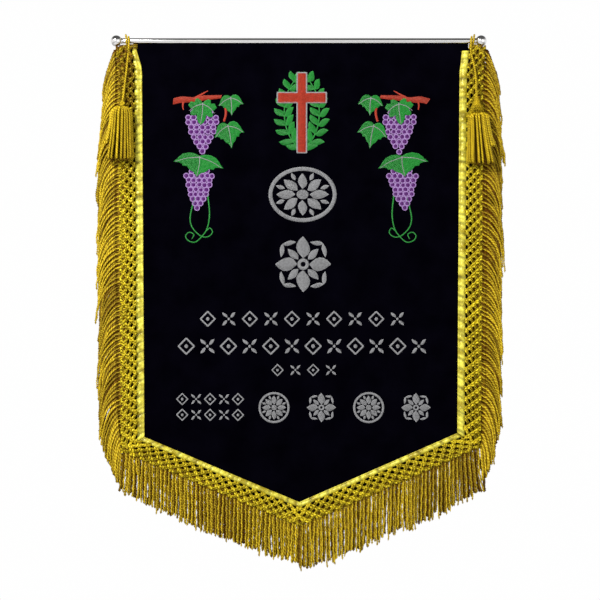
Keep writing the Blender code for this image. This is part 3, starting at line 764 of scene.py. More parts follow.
def build_net_back(part, side, sign):
    """A dark band behind the net's outer half, which fills its holes and the gaps between the
    strands' starts with painted shade.
    """
    strip = Strip(part, side, sign)
    head_inner, inner, outer = BAND_EDGES[part]
    t = np.linspace(0.001, 0.999, int(strip.length / BAND_STEP))[:, None]
    inner = head_inner + (inner - head_inner) * np.clip((t - 0.05) / 0.08, 0, 1)
    widened = np.clip(np.minimum((t - 0.03) / 0.16, (0.99 - t) / 0.17), 0, 1)
    outer = BAND_ENDS + (outer - BAND_ENDS) * widened
    flat = strip.at(t, inner + (outer - inner) * np.linspace(0, 1, 5))
    back, front = (on_cloth(flat, PANEL_FRONT + depth) for depth in BAND_DEPTH)
    loops = np.concatenate([front, back[:, ::-1]], axis=1)
    band = mesh_object(f"band_{part}_{side}", loops, loop_faces(loops, part, sign),
                       smooth=False, ridge=np.full(loops.shape[:2], BAND_RIDGE),
                       tone=np.full(loops.shape[:2], BAND_PAINTED_SHADE), lay=loops * 0.5)
    return finish_piece(band, net_yarn, "gold_net")


WHIP_REACH = {"left": (0.2800, 0.3050), "right": (0.2880, 0.3050)}     # from the middle
# Each cord's height, how far it stands forward, and its tone, darkened as painted shade under the
# rod.
WHIP_CORDS = ((-0.0070, 0.0030, -0.45), (-0.0100, 0.0042, -0.1), (-0.0128, 0.0030, -0.4))
WHIP_BOW = 0.0016
WHIP_RADIUS = 0.0021
WHIP_TWIST = 0.0080


def build_whipping(side, sign):
    """The gathered head of the trim: short cords sewn across it, close under the rod."""
    x = np.linspace(*WHIP_REACH[side], 14)
    bow = WHIP_BOW * ((x - x[0]) / (x[-1] - x[0])) ** 2
    depth = cloth_depth(sign * x, CLOTH_TOP)
    heights, forward, tones = zip(*WHIP_CORDS)
    lines = [stacked(sign * x, depth - y, z - bow) for z, y in zip(heights, forward)]
    whipping = cord_mesh(f"whipping_{side}", lines, WHIP_RADIUS, WHIP_TWIST,
                         phases=[0.0, 1.0, 2.0], tones=tones, pinch=0.08)
    return finish_piece(whipping, net_yarn, "gold_net")


for index, (side, sign) in enumerate(SIDES):
    for part in ("tape", "tape_lower"):
        build_tape(part, side, sign, seed=11 + index)
    for part in ("net", "net_lower"):
        build_net(part, side, sign, seed=31 + index)
        build_net_back(part, side, sign)
    build_whipping(side, sign)

# -------------------------------------------------------------------------------------- fringes

STRAND_RADII = ((0.0031, 0.0037), (0.0022, 0.0029), (0.0017, 0.0022))     # layer by layer
LAYER_DEPTH = (0.0012, 0.0034, 0.0054)       # in front of the cloth's middle
# Each layer's tone, back to front: the back layers are painted darker and the front ones lighter,
# painted shade.
LAYER_PAINTED_SHADE = {"fringe": (-1.0, -0.30, 0.70), "fringe_lower": (-0.70, 0.20, 1.0)}
STRAND_STEP = {"fringe": 0.0027, "fringe_lower": 0.0022}     # from one strand to the next
STRAND_STATIONS = 32
STRAND_TWIST = 0.0110
STRAND_HIDDEN = 0.013       # how far a strand starts behind the net
STRAND_BEHIND = 0.0040      # in front of the cloth's middle, where the net covers a strand
STRAND_PAINTED_SHADOW = 0.35         # how much darker the strands near the head are painted, a painted shadow
CRIMP = 0.0005              # the strands' fine waves, and how many there are in one strand
CRIMPS = 5.5
CLUMP_SHIFT = 0.0065        # how far strands of the side fringes are drawn together
SIDE_BEND = 2.1             # how sharply a side strand bends over
HEAD_BEND = 1.1
FIRST_FALL = 0.12           # the part of a side strand's fall that comes evenly from the start
# How far the strands of a side fringe reach out and hang down, and less so at its corner.
SIDE_STRANDS = {"left": (0.0370, 0.0800), "right": (0.0335, 0.0780)}
CORNER_STRANDS = {"left": (0.0090, 0.0590), "right": (0.0125, 0.0590)}
CORNER_ZONE = 0.105
CORNER_LOSS = {"left": (0.0070, 4), "right": (0.0110, 9)}    # reach lost, how near the corner
HEAD_ZONE = 0.050           # the topmost strands slope from the start
SHOULDER_ZONE = 0.130
SHOULDER_LOSS = {"left": 0.42, "right": 0.30}    # how much shorter the topmost strands reach
LOWER_HANG = {"left": 0.0790, "right": 0.0890}
CORNER_SWAY = {"left": 0.0060, "right": 0.0150}  # how far a lower corner strand swings out
LOWER_SHARE = 0.88          # of that hang, at the corner and at the tip
LOWER_CORNER_ZONE = 0.060
TIP_ZONE = 0.100


def strand_layers(strip, part, draws, spread):
    """Which layer each strand of an edge lies in, and how far its lock stands out."""
    axis = 0 if part.endswith("lower") else 1
    count = int(abs(strip.outer[-1, axis] - strip.outer[0, axis]) / STRAND_STEP[part])
    return np.arange(count) % 3, np.sin(np.cumsum(draws.normal(0, spread, count)) * 2.2)


def strand(x, z, share, layer, draws, start, rate):
    """A strand's line. From the start share on, it comes out of the net into its own layer."""
    emerged = LAYER_DEPTH[layer] + draws.normal(0, 0.0006) * share
    depth = STRAND_BEHIND + (emerged - STRAND_BEHIND) * np.clip((share - start) * rate, 0, 1)
    return on_cloth(stacked(x, z), depth)


def fringe_piece(side, part, lines, draws, layers, shade):
    """The strands of one edge as one mesh, each with its own thickness, turn and tone, which is
    partly random and partly painted shade.
    """
    count = len(lines)
    thin, thick = np.array(STRAND_RADII)[layers].T
    radii = draws.uniform(thin, thick)
    # Slow patches of painted shade along the edge, placed at random.
    shadow_patches = np.sin(np.cumsum(draws.normal(0, 0.16, count)) + draws.uniform(0, TAU))
    tones = 0.40 * draws.uniform(-1, 1, count) + 0.38 * shadow_patches - shade
    tones += np.array(LAYER_PAINTED_SHADE[part])[layers]
    fringe = cord_mesh(part.replace("fringe", "strands") + f"_{side}", lines, radii,
                       STRAND_TWIST, draws.uniform(0, TAU, count), tones=tones, sections=7,
                       pinch=0.07)
    return finish_piece(fringe, fringe_yarn, "gold_fringe", f"{part}_{side}")


def side_fringe(side, sign, seed):
    """Strands that leave the net's outer edge, bend over and hang down, in three layers."""
    strip = Strip("net", side, sign)
    draws = np.random.default_rng(seed)
    layers, locks = strand_layers(strip, "fringe", draws, 0.28)
    count = len(layers)
    clumps = np.sin(np.cumsum(draws.uniform(0.10, 0.40, count)))
    head, foot = strip.outer[0, 1], strip.outer[-1, 1]
    reach_full, drop_full = SIDE_STRANDS[side]
    reach_corner, drop_corner = CORNER_STRANDS[side]
    lost, nearness = CORNER_LOSS[side]
    lines = []
    share = np.linspace(0, 1, STRAND_STATIONS) ** 0.95
    hidden = STRAND_HIDDEN * np.clip(1 - share * 9, 0, 1)
    for index, layer in enumerate(layers):
        start_z = head + (foot - head) * (index + 0.5) / count + draws.normal(0, 0.0005)
        at_corner = np.clip(1 - (start_z - foot) / CORNER_ZONE, 0, 1)
        at_head = np.clip(1 - (head - start_z) / HEAD_ZONE, 0, 1)
        at_shoulder = np.clip(1 - (head - start_z) / SHOULDER_ZONE, 0, 1)
        reach = reach_full + (reach_corner - reach_full) * at_corner
        reach -= lost * at_corner ** nearness
        reach *= 1 - SHOULDER_LOSS[side] * at_shoulder
        drop = drop_full + (drop_corner - drop_full) * at_corner
        loose = 0.4 + 0.3 * layer
        reach *= 1 + loose * (0.05 * draws.normal() + 0.05 * locks[index]) - 0.05 * (2 - layer)
        drop *= 1 + loose * (0.03 * draws.normal() - 0.02 * locks[index])
        edge = np.interp(-start_z, -strip.outer[:, 1], sign * strip.outer[:, 0])
        bent = 1 - (1 - share) ** SIDE_BEND
        sloping = np.sin(math.pi / 2 * share ** HEAD_BEND)
        out = reach * (bent + (sloping - bent) * at_head)
        fall = FIRST_FALL * share + (1 - FIRST_FALL) * share ** (1.6 - 0.5 * at_head)
        wave = 0.0010 * np.sin(share * 9 + draws.uniform(0, TAU)) * share
        wave += CRIMP * np.sin(share * TAU * CRIMPS + draws.uniform(0, TAU)) * share
        gathered = CLUMP_SHIFT * clumps[index] * (layer > 0) * (1 - at_corner)
        z = start_z - drop * fall + 0.35 * hidden + gathered * share
        x = sign * (edge + out + wave - hidden)
        lines.append(strand(x, z, share, layer, draws, start=0.0, rate=5))
    # Strands near the head get a painted shadow.
    from_head = (head - foot) * (np.arange(count) + 0.5) / count
    return fringe_piece(side, "fringe", lines, draws, layers, STRAND_PAINTED_SHADOW * near_head(from_head))


def lower_fringe(side, sign, seed):
    """Strands that hang straight down from the lower net, in layers and uneven bunches."""
    strip = Strip("net_lower", side, sign)
    draws = np.random.default_rng(seed)
    layers, locks = strand_layers(strip, "fringe_lower", draws, 0.30)
    tip, corner = strip.outer[0, 0], strip.outer[-1, 0]
    lines = []
    share = np.linspace(0, 1, STRAND_STATIONS)
    for index, layer in enumerate(layers):
        x_start = tip + (corner - tip) * (index + 0.5) / len(layers)
        z_start = np.interp(sign * x_start, sign * strip.outer[:, 0], strip.outer[:, 1])
        from_corner = min(1.0, abs(x_start - corner) / LOWER_CORNER_ZONE)
        from_tip = min(1.0, abs(x_start - tip) / TIP_ZONE)
        hang = LOWER_HANG[side] * (LOWER_SHARE + (1 - LOWER_SHARE) * from_corner)
        hang *= LOWER_SHARE + (1 - LOWER_SHARE) * from_tip
        hang *= 1 + 0.035 * draws.normal() + 0.035 * locks[index] - 0.025 * (2 - layer)
        sway = 0.0020 * locks[index] + draws.normal(0, 0.0008)
        sway += sign * CORNER_SWAY[side] * (1 - from_corner) ** 2
        curl = draws.normal(0, 0.0007) * np.sin(share * math.pi * 2.2)
        curl += CRIMP * np.sin(share * TAU * CRIMPS + draws.uniform(0, TAU))
        x = x_start + sway * share ** 1.3 + curl
        z = z_start + STRAND_HIDDEN - (hang + STRAND_HIDDEN) * share
        lines.append(strand(x, z, share, layer, draws, start=0.12, rate=6))
    return fringe_piece(side, "fringe_lower", lines, draws, layers, 0.0)


for index, (side, sign) in enumerate(SIDES):
    side_fringe(side, sign, seed=51 + index)
    lower_fringe(side, sign, seed=61 + index)

# -------------------------------------------------------------------------------------- tassels

ROD_RADIUS = 0.00475
TASSEL_Y = -0.0185
CORD_DIAMETER = 0.0036
CORD_CLEARANCE = 0.0005
CORD_TURNS = 1.25
CORD_TURN_STEPS = 18
CORD_PITCH = 0.0042
CORD_IN_SKIRT = 0.040
CORD_TWIST = 0.0078
CORD_STEP = 0.0011
KNOT_TWIST = 0.0070
ROUND_KNOT_SIZE = 0.00105
ROUND_KNOT_RADIUS = 0.0015    # of its cord
WOUND_KNOT_RADIUS = 0.0016    # of its cord
WOUND_KNOT_CORE = 0.0006      # the innermost turns keep this far from the middle
WOUND_KNOT_STEPS = 26         # in each turn
CORD_AT_ROD = {"left": 0.2953, "right": 0.2927}
# Each cord's fall as (outwards, depth, height), from under the rod to its knot.
CORD_FALL = {
    "left": ((0.2954, -0.0076, -0.0100), (0.2966, -0.0084, -0.0260),
             (0.2985, -0.0102, -0.0450), (0.3008, -0.0127, -0.0660),
             (0.3030, -0.0154, -0.0870), (0.3056, -0.0178, -0.1050)),
    "right": ((0.2921, -0.0076, -0.0100), (0.2919, -0.0084, -0.0200),
              (0.2944, -0.0095, -0.0310), (0.2985, -0.0120, -0.0500),
              (0.3004, -0.0148, -0.0720), (0.3010, -0.0177, -0.0938)),
}


def even_line(points, spacing=None, count=None):
    """A smooth line through points, as evenly spaced points."""
    points = np.asarray(points, float)
    padded = np.concatenate([2 * points[:1] - points[1:2], points, 2 * points[-1:] - points[-2:-1]])
    u = np.linspace(0, 1, 17)[:-1, None]
    pieces = []
    for a, b, c, d in zip(padded, padded[1:], padded[2:], padded[3:]):
        pieces.append(0.5 * (2 * b + (c - a) * u + (2 * a - 5 * b + 4 * c - d) * u ** 2
                             + (3 * b - a - 3 * c + d) * u ** 3))
    dense = np.concatenate([*pieces, points[-1:]])
    along = np.append(0, np.cumsum(np.linalg.norm(np.diff(dense, axis=0), axis=1)))
    if count is None:
        count = max(2, round(along[-1] / spacing) + 1)
    places = np.linspace(0, along[-1], count)
    return stacked(*(np.interp(places, along, values) for values in dense.T))


def cord_route(side, sign):
    """The cord's centreline: free end, turns round the rod, fall, knot, skirt."""
    radius = ROD_RADIUS + CORD_CLEARANCE + CORD_DIAMETER / 2
    first_x = CORD_AT_ROD[side] + CORD_TURNS * CORD_PITCH
    points = [(sign * (first_x + 0.0012), 0.0068, radius + 1.55 * CORD_DIAMETER),
              (sign * (first_x + 0.0006), 0.0048, radius + 0.70 * CORD_DIAMETER),
              (sign * (first_x + 0.0001), 0.0024, radius + 0.10 * CORD_DIAMETER)]
    steps = round(CORD_TURNS * CORD_TURN_STEPS)
    for step in range(steps + 1):
        turn = CORD_TURNS * step / steps
        points.append((sign * (first_x - CORD_PITCH * turn), -radius * math.sin(TAU * turn),
                       radius * math.cos(TAU * turn)))
    points += [(sign * x, y, z) for x, y, z in CORD_FALL[side]]
    low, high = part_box(f"tassel_skirt_{side}")
    middle = (low[0] + high[0]) / 2
    points.append((middle, TASSEL_Y, high[2] - 0.003))
    points.append((middle, TASSEL_Y, high[2] - CORD_IN_SKIRT))
    return even_line(points, spacing=CORD_STEP)


def round_knot(side, node):
    """A small tied knot: one cord looped three times through itself."""
    low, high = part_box(node)
    middle = [(a + b) / 2 for a, b in zip(low, high)]
    t = np.linspace(0, TAU, 97)
    size = ROUND_KNOT_SIZE
    line = stacked(size * (np.sin(t) + 2 * np.sin(2 * t)), -size * 1.1 * np.sin(3 * t),
                   size * 1.15 * (np.cos(t) - 2 * np.cos(2 * t)))
    return cord_mesh(f"knot_{side}", [line + middle], ROUND_KNOT_RADIUS, KNOT_TWIST, [0.0],
                     tones=[0.8], pinch=0.12, level=(0.3, 1.0, 0.2), rounded=0.01)


def wound_knot(side, node):
    """A cone of cord wound round the tassel's neck."""
    low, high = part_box(node)
    radius = WOUND_KNOT_RADIUS
    turns = (high[2] - low[2]) / (2 * radius * 0.98)
    t = np.linspace(0, 1, int(turns * WOUND_KNOT_STEPS))
    z = high[2] - radius + (low[2] - high[2] + 2 * radius) * t
    angle = TAU * turns * t
    lows, highs = Silhouette(node, 0, 2).at(z)
    fronts, backs = Silhouette(node, 1, 2).at(z)
    wide = np.maximum((highs - lows) / 2 - radius, WOUND_KNOT_CORE)
    deep = np.maximum((backs - fronts) / 2 - radius, WOUND_KNOT_CORE)
    line = stacked((lows + highs) / 2 + wide * np.cos(angle),
                   (fronts + backs) / 2 + deep * np.sin(angle), z)
    return cord_mesh(f"wound_knot_{side}", [line], radius, KNOT_TWIST, [0.0], tones=[0.7],
                     pinch=0.1, level=(0.0, 0.0, 1.0))


KNOTS = {"left": round_knot, "right": wound_knot}
SKIRT_TWIST = 0.0085
SKIRT_FLARE = {"left": 0.0075, "right": 0.0055}       # how far the outer side swings out
# Each layer's count of strands, how deep it lies, the room a strand takes, and its tone: the inner
# layers are darker, painted shade.
SKIRT_LAYERS = ((21, 0.0, 0.0030, 0.95), (15, 0.0052, 0.0028, 0.0), (8, 0.0105, 0.0028, -0.8))
# How a strand curls in over the shoulder: shares of its way out, sideways and in depth, that
# it still lacks, and how far it lies below the top.
SHOULDER_CURL = ((0.80, 0.8, 0.0030), (0.45, 0.4, 0.0012))
SHOULDER_DROPS = np.array([0.0050, 0.0105, 0.0175])   # where it then runs down the shoulder
SHOULDER_FOOT = 0.025
SHORT_AROUND = {"left": 2.6, "right": 0.4}            # the direction where strands are short
SHORT_REACH = 0.60
SKIRT_STATIONS = 48


def skirt_strand(side, sign, outlines, draws, angle, inset, radius):
    """One strand: it curls over the tassel's shoulder and hangs. A short one turns out below."""
    wide, deep = outlines
    top, bottom = wide.high, wide.low
    short = inset == 0.0 and math.cos(angle - SHORT_AROUND[side]) > 0.35
    end = top + (bottom - top) * ((SHORT_REACH if short else 1.0) + draws.normal(0, 0.012))
    heights = np.append(top - SHOULDER_DROPS,
                        np.linspace(top - SHOULDER_FOOT, max(end, bottom + 0.0005), 8))
    lows, highs = wide.at(heights)
    fronts, backs = deep.at(heights)
    gap = inset + radius * 0.55
    across = np.maximum((highs - lows) / 2 - gap, 0.002) * math.cos(angle)
    into = np.maximum((backs - fronts) / 2 - 0.6 * gap, 0.0012) * math.sin(angle)
    sway = draws.normal(0, 0.0011) * np.linspace(0, 1, len(heights)) ** 1.5
    outward = sign * max(0.0, sign * math.cos(angle))
    flare = SKIRT_FLARE[side] * outward * ((top - heights) / (top - bottom)) ** 2
    x = (lows + highs) / 2 + across + sway + flare
    y = (fronts + backs) / 2 + into
    points = [(x[0] - across[0] * sideways, y[0] - into[0] * inwards, top - drop - inset * 0.5)
              for sideways, inwards, drop in SHOULDER_CURL]
    points += list(zip(x, y, heights - inset * 0.3))
    if short:
        points.append((x[-1] + 0.25 * across[-1] / 2, y[-1] + 0.1 * into[-1],
                       heights[-1] - 0.004))
    return even_line(points, count=SKIRT_STATIONS)


def build_skirt(side, sign, seed):
    """The tassel's strands, in an outer layer and two inner ones."""
    node = f"tassel_skirt_{side}"
    outlines = Silhouette(node, across=0, along=2), Silhouette(node, across=1, along=2)
    draws = np.random.default_rng(seed)
    lines, phases, tones = [], [], []
    for count, inset, radius, tone in SKIRT_LAYERS:
        for index in range(count):
            angle = TAU * (index + 0.5 * (inset > 0)) / count + draws.normal(0, 0.05)
            lines.append(skirt_strand(side, sign, outlines, draws, angle, inset, radius))
            phases.append(draws.uniform(0, TAU))
            tones.append(tone + 0.55 * draws.uniform(-1, 1))
    skirt = cord_mesh(f"skirt_{side}", lines, draws.uniform(0.0018, 0.0029, len(lines)),
                      SKIRT_TWIST, phases, tones=tones, pinch=0.04)
    finish_piece(skirt, tassel_yarn, "gold_tassel", node)


def build_tassel(side, sign, seed):
    """A tassel: its cord, its knot and its skirt."""
    route = cord_route(side, sign)
    cord = cord_mesh(f"cord_of_tassel_{side}", [route], CORD_DIAMETER / 2, CORD_TWIST, [0.0],
                     tones=[0.6], pinch=0.12, level=(1.0, 0.3, 0.2), sections=12)
    finish_piece(cord, tassel_yarn, "gold_tassel", f"tassel_cord_{side}")
    knot_node = f"tassel_knot_{side}"
    knot = finish_piece(KNOTS[side](side, knot_node), tassel_yarn, "gold_tassel", knot_node)
    build_skirt(side, sign, seed)


for index, (side, sign) in enumerate(SIDES):
    build_tassel(side, sign, seed=71 + index)

# ----------------------------------------------------------------------------------- embroidery

STITCH_PITCH = 0.00072
STITCH_HALF_WIDTH = 0.00046
LONGEST_STITCH = 0.0095
STITCH_SHARES = np.array([0.0, 0.18, 0.82, 1.0])
STITCH_SUNK = -0.0001       # a stitch's long edges, just under the cloth's face
STITCH_RISE = np.array([0.2, 1.0, 1.0, 0.2])
STITCH_NARROW = np.array([0.7, 1.0, 1.0, 0.7])


class Needlework:
    """Satin stitches of one thread, gathered as pairs of ends on the panel's face."""

    def __init__(self):
        self.starts, self.ends, self.lifts = [], [], []

    def add(self, starts, ends, lift):
        """Stitches between ends, lift above the cloth."""
        self.starts.append(starts)
        self.ends.append(ends)
        self.lifts.append(np.full(len(starts), lift))

    def band(self, line, widths, slant=0.0, lift=0.0):
        """Stitches across a line. Widths are at even places along it."""
        line = even_line(line, spacing=STITCH_PITCH)
        places = np.linspace(0, 1, len(line))
        widths = np.interp(places, np.linspace(0, 1, len(widths)), widths)
        ahead = unit(np.gradient(line, axis=0))
        across = stacked(-ahead[:, 1], ahead[:, 0]) + slant * ahead
        half = across * widths[:, None] / 2
        self.add(line - half, line + half, lift)

    def fill(self, outline, angle, lift=0.0, longest=LONGEST_STITCH):
        """Rows of stitches at an angle, inside a closed outline."""
        cos, sin = math.cos(angle), math.sin(angle)
        turned = np.asarray(outline) @ np.array([[cos, -sin], [sin, cos]])
        following = np.roll(turned, -1, axis=0)
        starts, ends = [], []
        rows = np.arange(turned[:, 1].min() + STITCH_PITCH / 2, turned[:, 1].max(), STITCH_PITCH)
        for number, row in enumerate(rows):
            crossed = (turned[:, 1] - row) * (following[:, 1] - row) < 0
            a, b = turned[crossed], following[crossed]
            places = np.sort(a[:, 0] + (row - a[:, 1]) / (b[:, 1] - a[:, 1]) * (b - a)[:, 0])
            for first, last in zip(places[::2], places[1::2]):
                count = max(1, math.ceil((last - first) / longest))
                cuts = np.linspace(first, last, count + 1)
                cuts[1:-1] += (number % 3 - 1) * 0.22 * (last - first) / count
                starts += [(cut, row) for cut in cuts[:-1]]
                ends += [(cut, row) for cut in cuts[1:]]
        back = np.array([[cos, sin], [-sin, cos]])
        self.add(np.array(starts) @ back, np.array(ends) @ back, lift)

    def build(self, thread, seed):
        """All the stitches as one mesh: each is a low ridge that dips at both ends."""
        start, end = np.concatenate(self.starts), np.concatenate(self.ends)
        run = end - start
        length = np.linalg.norm(run, axis=1)
        ahead = unit(run)
        side = stacked(-ahead[:, 1], ahead[:, 0]) * STITCH_HALF_WIDTH
        middle = start[:, None] + run[:, None] * STITCH_SHARES[:, None]
        across = np.array([-1.0, 0.0, 1.0])[:, None] * STITCH_NARROW[:, None, None]
        flat = middle[:, :, None] + side[:, None, None] * across
        draws = np.random.default_rng(seed)
        height = np.clip(0.00035 + 0.08 * length, 0.0004, 0.0010)
        height *= draws.uniform(0.85, 1.15, len(height))
        crest = height[:, None] * STITCH_RISE
        lift = stacked(STITCH_SUNK, crest, STITCH_SUNK) + np.concatenate(self.lifts)[:, None, None]
        points = on_cloth(flat, PANEL_HALF_THICKNESS + lift)
        count, rows, columns = points.shape[:3]
        quads = grid_quads(rows, columns) + (np.arange(count) * rows * columns)[:, None, None]
        piece = mesh_object(f"stitches_{thread}", points, [quads.reshape(-1, 4)])
        return finish_piece(piece, THREADS[thread], f"thread_{thread}")


work = {thread: Needlework() for thread in THREADS}


def ellipse(middle, radius_x, radius_z, count=28):
    """Points round an ellipse, in metres."""
    angle = np.arange(count) * TAU / count
    return stacked(middle[0] + radius_x * np.cos(angle), middle[1] + radius_z * np.sin(angle))


def ring(thread, middle, radius_x, radius_z, width, count=36, lift=0.0):
    """A closed ring of stitches."""
    points = ellipse(middle, radius_x, radius_z, count)
    work[thread].band(np.concatenate([points, points[:1]]), [width, width], lift=lift)


def petal(thread, middle, angle, start, end, width, stretch=(1.0, 1.0), lift=0.0, slant=0.5):
    """A pointed leaf or petal of stitches, along a ray from a middle."""
    shares = np.linspace(start, end, 6)
    line = stacked(middle[0] + shares * math.cos(angle) * stretch[0],
                   middle[1] + shares * math.sin(angle) * stretch[1])
    work[thread].band(line, np.array([0.12, 0.75, 1.0, 0.92, 0.62, 0.10]) * width,
                      slant=slant, lift=lift)


# Half of a vine leaf about 1 wide and 1 high, from the notch at its stalk down to its tip.
LEAF_HALF = np.array([
    (0.00, 0.36), (0.10, 0.44), (0.22, 0.45), (0.34, 0.36), (0.42, 0.20), (0.45, 0.10),
    (0.52, -0.04), (0.41, -0.03), (0.34, -0.07), (0.32, -0.15), (0.23, -0.15), (0.19, -0.24),
    (0.15, -0.31), (0.08, -0.36), (0.03, -0.47), (0.00, -0.55)])
LOBED_HALF = np.array([
    (0.00, 0.32), (0.07, 0.44), (0.20, 0.52), (0.29, 0.47), (0.30, 0.34), (0.44, 0.36),
    (0.54, 0.20), (0.44, 0.08), (0.34, 0.04), (0.43, -0.08), (0.40, -0.20), (0.26, -0.20),
    (0.17, -0.14), (0.17, -0.30), (0.10, -0.46), (0.00, -0.56)])
LEAF_VEINS = (((0.0, 0.34), (0.02, 0.0), (0.0, -0.50)), ((0.0, 0.30), (0.26, 0.18), (0.47, -0.02)),
              ((0.0, 0.30), (-0.26, 0.18), (-0.47, -0.02)))


def vine_leaf(sign, out, z, width, height, turn, half_outline):
    """A vine leaf with pale veins. Its place and size are in millimetres."""
    cos, sin = math.cos(math.radians(turn)), math.sin(math.radians(turn))

    def placed(points):
        across, up = (np.asarray(points) * (width, height)).T
        return stacked(sign * (out - (across * cos - up * sin)),
                       z + across * sin + up * cos) * MM

    for half in (1, -1):
        outline = half_outline * (half, 1)
        work["green"].fill(placed(outline), sign * half * math.radians(38), lift=0.0009)
    for vein in LEAF_VEINS:
        work["silver"].band(placed(vein), np.array([1.5, 1.2, 0.8]) * MM, lift=0.0016)


GRAPE_RADIUS = 0.0042


def bunch(sign, out, z_top, z_step, spacing, counts, lean, seed):
    """A bunch of grapes in rows: a dark filled middle and a pale ring for each."""
    draws = np.random.default_rng(seed)
    for row, count in enumerate(counts):
        for number in range(count):
            x = out + lean * row + (number - (count - 1) / 2) * spacing + draws.normal(0, 0.5)
            z = z_top + z_step * row + draws.normal(0, 0.5)
            middle = np.array([sign * x, z]) * MM
            radius = GRAPE_RADIUS * draws.uniform(0.94, 1.08)
            work["purple"].fill(ellipse(middle, radius * 0.80, radius * 0.80, 14), 0.3 * sign)
            ring("lilac", middle, radius, radius, 1.9 * MM, count=12, lift=0.0002)


# Branches and tendrils: thread, slant, widths, and places outwards from the banner's middle
# and up, all in millimetres.
VINE_LINES = (
    ("red", 0.4, (10.0, 11.0, 8.2, 8.8, 7.4, 5.5),
     ((219, -104), (206, -101), (186, -101), (166, -98), (151, -97), (137, -96))),
    ("red", 0.0, (5, 3, 1.6), ((181, -98), (169, -91), (160, -86))),
    ("red", 0.0, (4.0, 2.8, 2.0), ((202, -104), (203, -112), (202, -118))),
    ("red", 0.0, (3.6, 4.0, 3.6), ((135, -104), (130, -114), (129, -126), (132, -138))),
    ("green", 0.0, (2.3, 1.7),
     ((182, -268), (190, -300), (188, -318), (178, -331), (168, -337), (158, -336),
      (152, -329), (156, -322), (162, -326))),
    ("green", 0.0, (2.3, 1.7),
     ((160, -264), (157, -298), (161, -322), (170, -336), (182, -346), (194, -343),
      (198, -335), (192, -329), (184, -333), (187, -340))),
)
VINE_BUNCHES = ((170, -123, -8.4, 9.6, (4, 6, 6, 5, 5, 4, 3, 2, 1), -0.2),
                (174, -224, -7.9, 9.0, (4, 6, 5, 5, 4, 4, 3, 2, 1), 0.5))
VINE_LEAVES = ((120, -109, 42, 36, 4, LEAF_HALF), (170, -121, 46, 42, -6, LOBED_HALF),
               (123, -160, 50, 46, 10, LEAF_HALF), (176, -212, 84, 40, -8, LEAF_HALF))


def vine(sign, seed):
    """A branch with four leaves, two bunches and two tendrils."""
    for thread, slant, widths, places in VINE_LINES:
        line = np.array([(sign * out, z) for out, z in places]) * MM
        work[thread].band(line, np.array(widths) * MM, slant=slant)
    for index, places in enumerate(VINE_BUNCHES):
        bunch(sign, *places, seed=seed + index)
    for places in VINE_LEAVES:
        vine_leaf(sign, *places)


CROSS_X = 1.8
CROSS_UPRIGHT = (-8.0, 8.0, -192.0, -55.0)     # left, right, foot and top, in millimetres
CROSS_ARMS = (-42.0, 42.0, -106.0, -89.0)
CROSS_EDGE = 2.6


def cross_and_sprays():
    """A plain cross, edged in silver, before two sprays of green leaves."""
    left, right, foot, top = CROSS_UPRIGHT
    arm_left, arm_right, arm_foot, arm_top = CROSS_ARMS
    outline = [(left, foot), (right, foot), (right, arm_foot), (arm_right, arm_foot),
               (arm_right, arm_top), (right, arm_top), (right, top), (left, top),
               (left, arm_top), (arm_left, arm_top), (arm_left, arm_foot), (left, arm_foot)]
    outline = [((CROSS_X + x) * MM, z * MM) for x, z in outline]
    work["red"].fill(outline, 0.0, lift=0.0012, longest=0.017)
    for start, end in zip(outline, outline[1:] + outline[:1]):
        work["silver"].band([start, end], [CROSS_EDGE * MM] * 2, lift=0.0014)
    for sign in (-1, 1):
        stem = even_line([(CROSS_X + sign * out, z) for out, z in
                          ((2, -184), (16, -172), (27, -148), (30, -118), (24, -88), (14, -70))],
                         count=9)
        work["green"].band(stem * MM, np.array([2.6, 1.8]) * MM)
        ahead = np.degrees(np.arctan2(*np.gradient(stem, axis=0).T[::-1]))
        for number, (place, direction) in enumerate(zip(stem, ahead)):
            for turn in (-48, 48) if number else (-30, 30):
                size = 25 - 0.8 * number
                petal("green", place * MM, math.radians(direction + turn), 0.001, size * MM,
                      11.5 * MM, lift=0.0003)
        petal("green", stem[-1] * MM, math.radians(ahead[-1]), 0.0, 0.020, 0.009)


def petals(middle, reach, count, rounds, stretch=(1.0, 1.0), slant=0.2):
    """Silver petals round a middle. A round is its turn in steps, start, end and width, as
    shares of the flower's reach."""
    for index in range(count):
        for turn, start, end, width in rounds:
            petal("silver", middle, TAU * (index + turn) / count, start * reach, end * reach,
                  width * reach, stretch, slant=slant)


def round_flower(x, z, half_x, half_z):
    """A flower of eight petals with buds between them, inside a ring."""
    middle, reach = (x * MM, z * MM), half_z * MM
    wide = half_x / half_z
    work["silver"].fill(ellipse(middle, 0.17 * reach * wide, 0.17 * reach), 0.6)
    petals(middle, reach, 8, ((0, 0.22, 0.74, 0.33), (0.5, 0.56, 0.82, 0.15)), (wide, 1.0))
    ring("silver", middle, 0.92 * reach * wide, 0.92 * reach, 0.14 * reach)


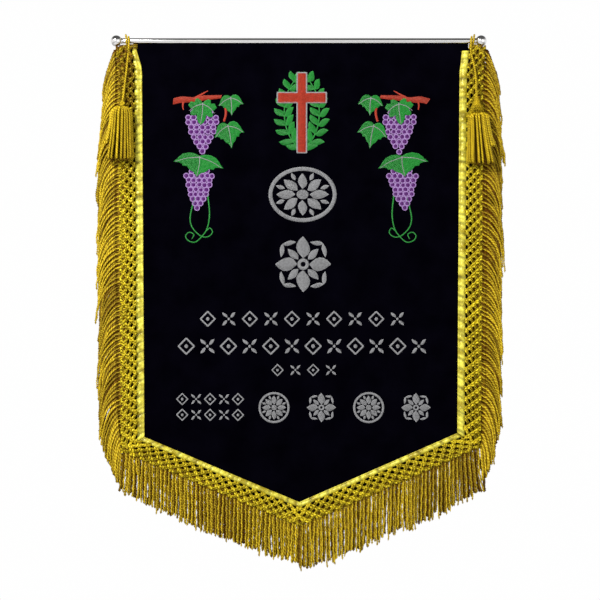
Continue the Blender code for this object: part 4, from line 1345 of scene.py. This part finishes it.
def square_flower(x, z, half):
    """Four broad petals and four narrow ones, with a leaf at each corner."""
    middle, reach = (x * MM, z * MM), half * MM
    ring("silver", middle, 0.15 * reach, 0.15 * reach, 0.12 * reach)
    for index in range(4):
        angle = TAU * index / 4
        petal("silver", middle, angle, 0.24 * reach, 0.98 * reach, 0.50 * reach,
              slant=0.2)
        petal("silver", middle, angle + TAU / 8, 0.26 * reach, 0.76 * reach, 0.26 * reach,
              slant=0.2)
        corner = (middle[0] + 1.02 * reach * math.cos(angle + TAU / 8),
                  middle[1] + 1.02 * reach * math.sin(angle + TAU / 8))
        for turn in (-2.2, 2.2):
            petal("silver", corner, angle + TAU / 8 + turn, 0.0, 0.46 * reach, 0.17 * reach)


def quatrefoil(x, z, size):
    """Four slanted petals round a dot."""
    middle, reach = (x * MM, z * MM), size * MM
    work["silver"].fill(ellipse(middle, 0.09 * reach, 0.09 * reach, 12), 0.0)
    petals(middle, reach, 4, ((0.5, 0.16, 0.62, 0.21),), slant=0.5)


def lozenge(x, z, size):
    """A diamond outline round a dot."""
    middle, reach = (x * MM, z * MM), 0.5 * size * MM
    work["silver"].fill(ellipse(middle, 0.24 * reach, 0.24 * reach, 12), 0.0)
    corners = ellipse(middle, reach, reach, 4)
    for start, end in zip(corners, np.roll(corners, -1, axis=0)):
        work["silver"].band([start, end], [0.22 * reach] * 2)


def rows_of_ornament():
    """Rows of small flowers and diamonds under the two large flowers, in millimetres."""
    rows = ((-478.0, (-160, 166), 10, 25.0), (-525.0, (-197, 203), 12, 27.0),
            (-566.0, (-40, 52), 4, 19.0), (-616.0, (-204, -108), 5, 19.0),
            (-643.0, (-204, -108), 5, 19.0))
    for z, (first, last), count, size in rows:
        for index, x in enumerate(np.linspace(first, last, count)):
            (quatrefoil if index % 2 else lozenge)(x, z, size)
    for index, x in enumerate(np.linspace(-46, 198, 4)):
        if index % 2:
            square_flower(x, -630.5, 25.0)
        else:
            round_flower(x, -630.5, 27.0, 27.0)


for index, (side, sign) in enumerate(SIDES):
    vine(sign, seed=81 + 2 * index)
cross_and_sprays()
round_flower(3, -264, 60, 48)
square_flower(4, -384, 48)
rows_of_ornament()
stitch_pieces = [work[thread].build(thread, seed=91 + index)
                 for index, thread in enumerate(THREADS)]
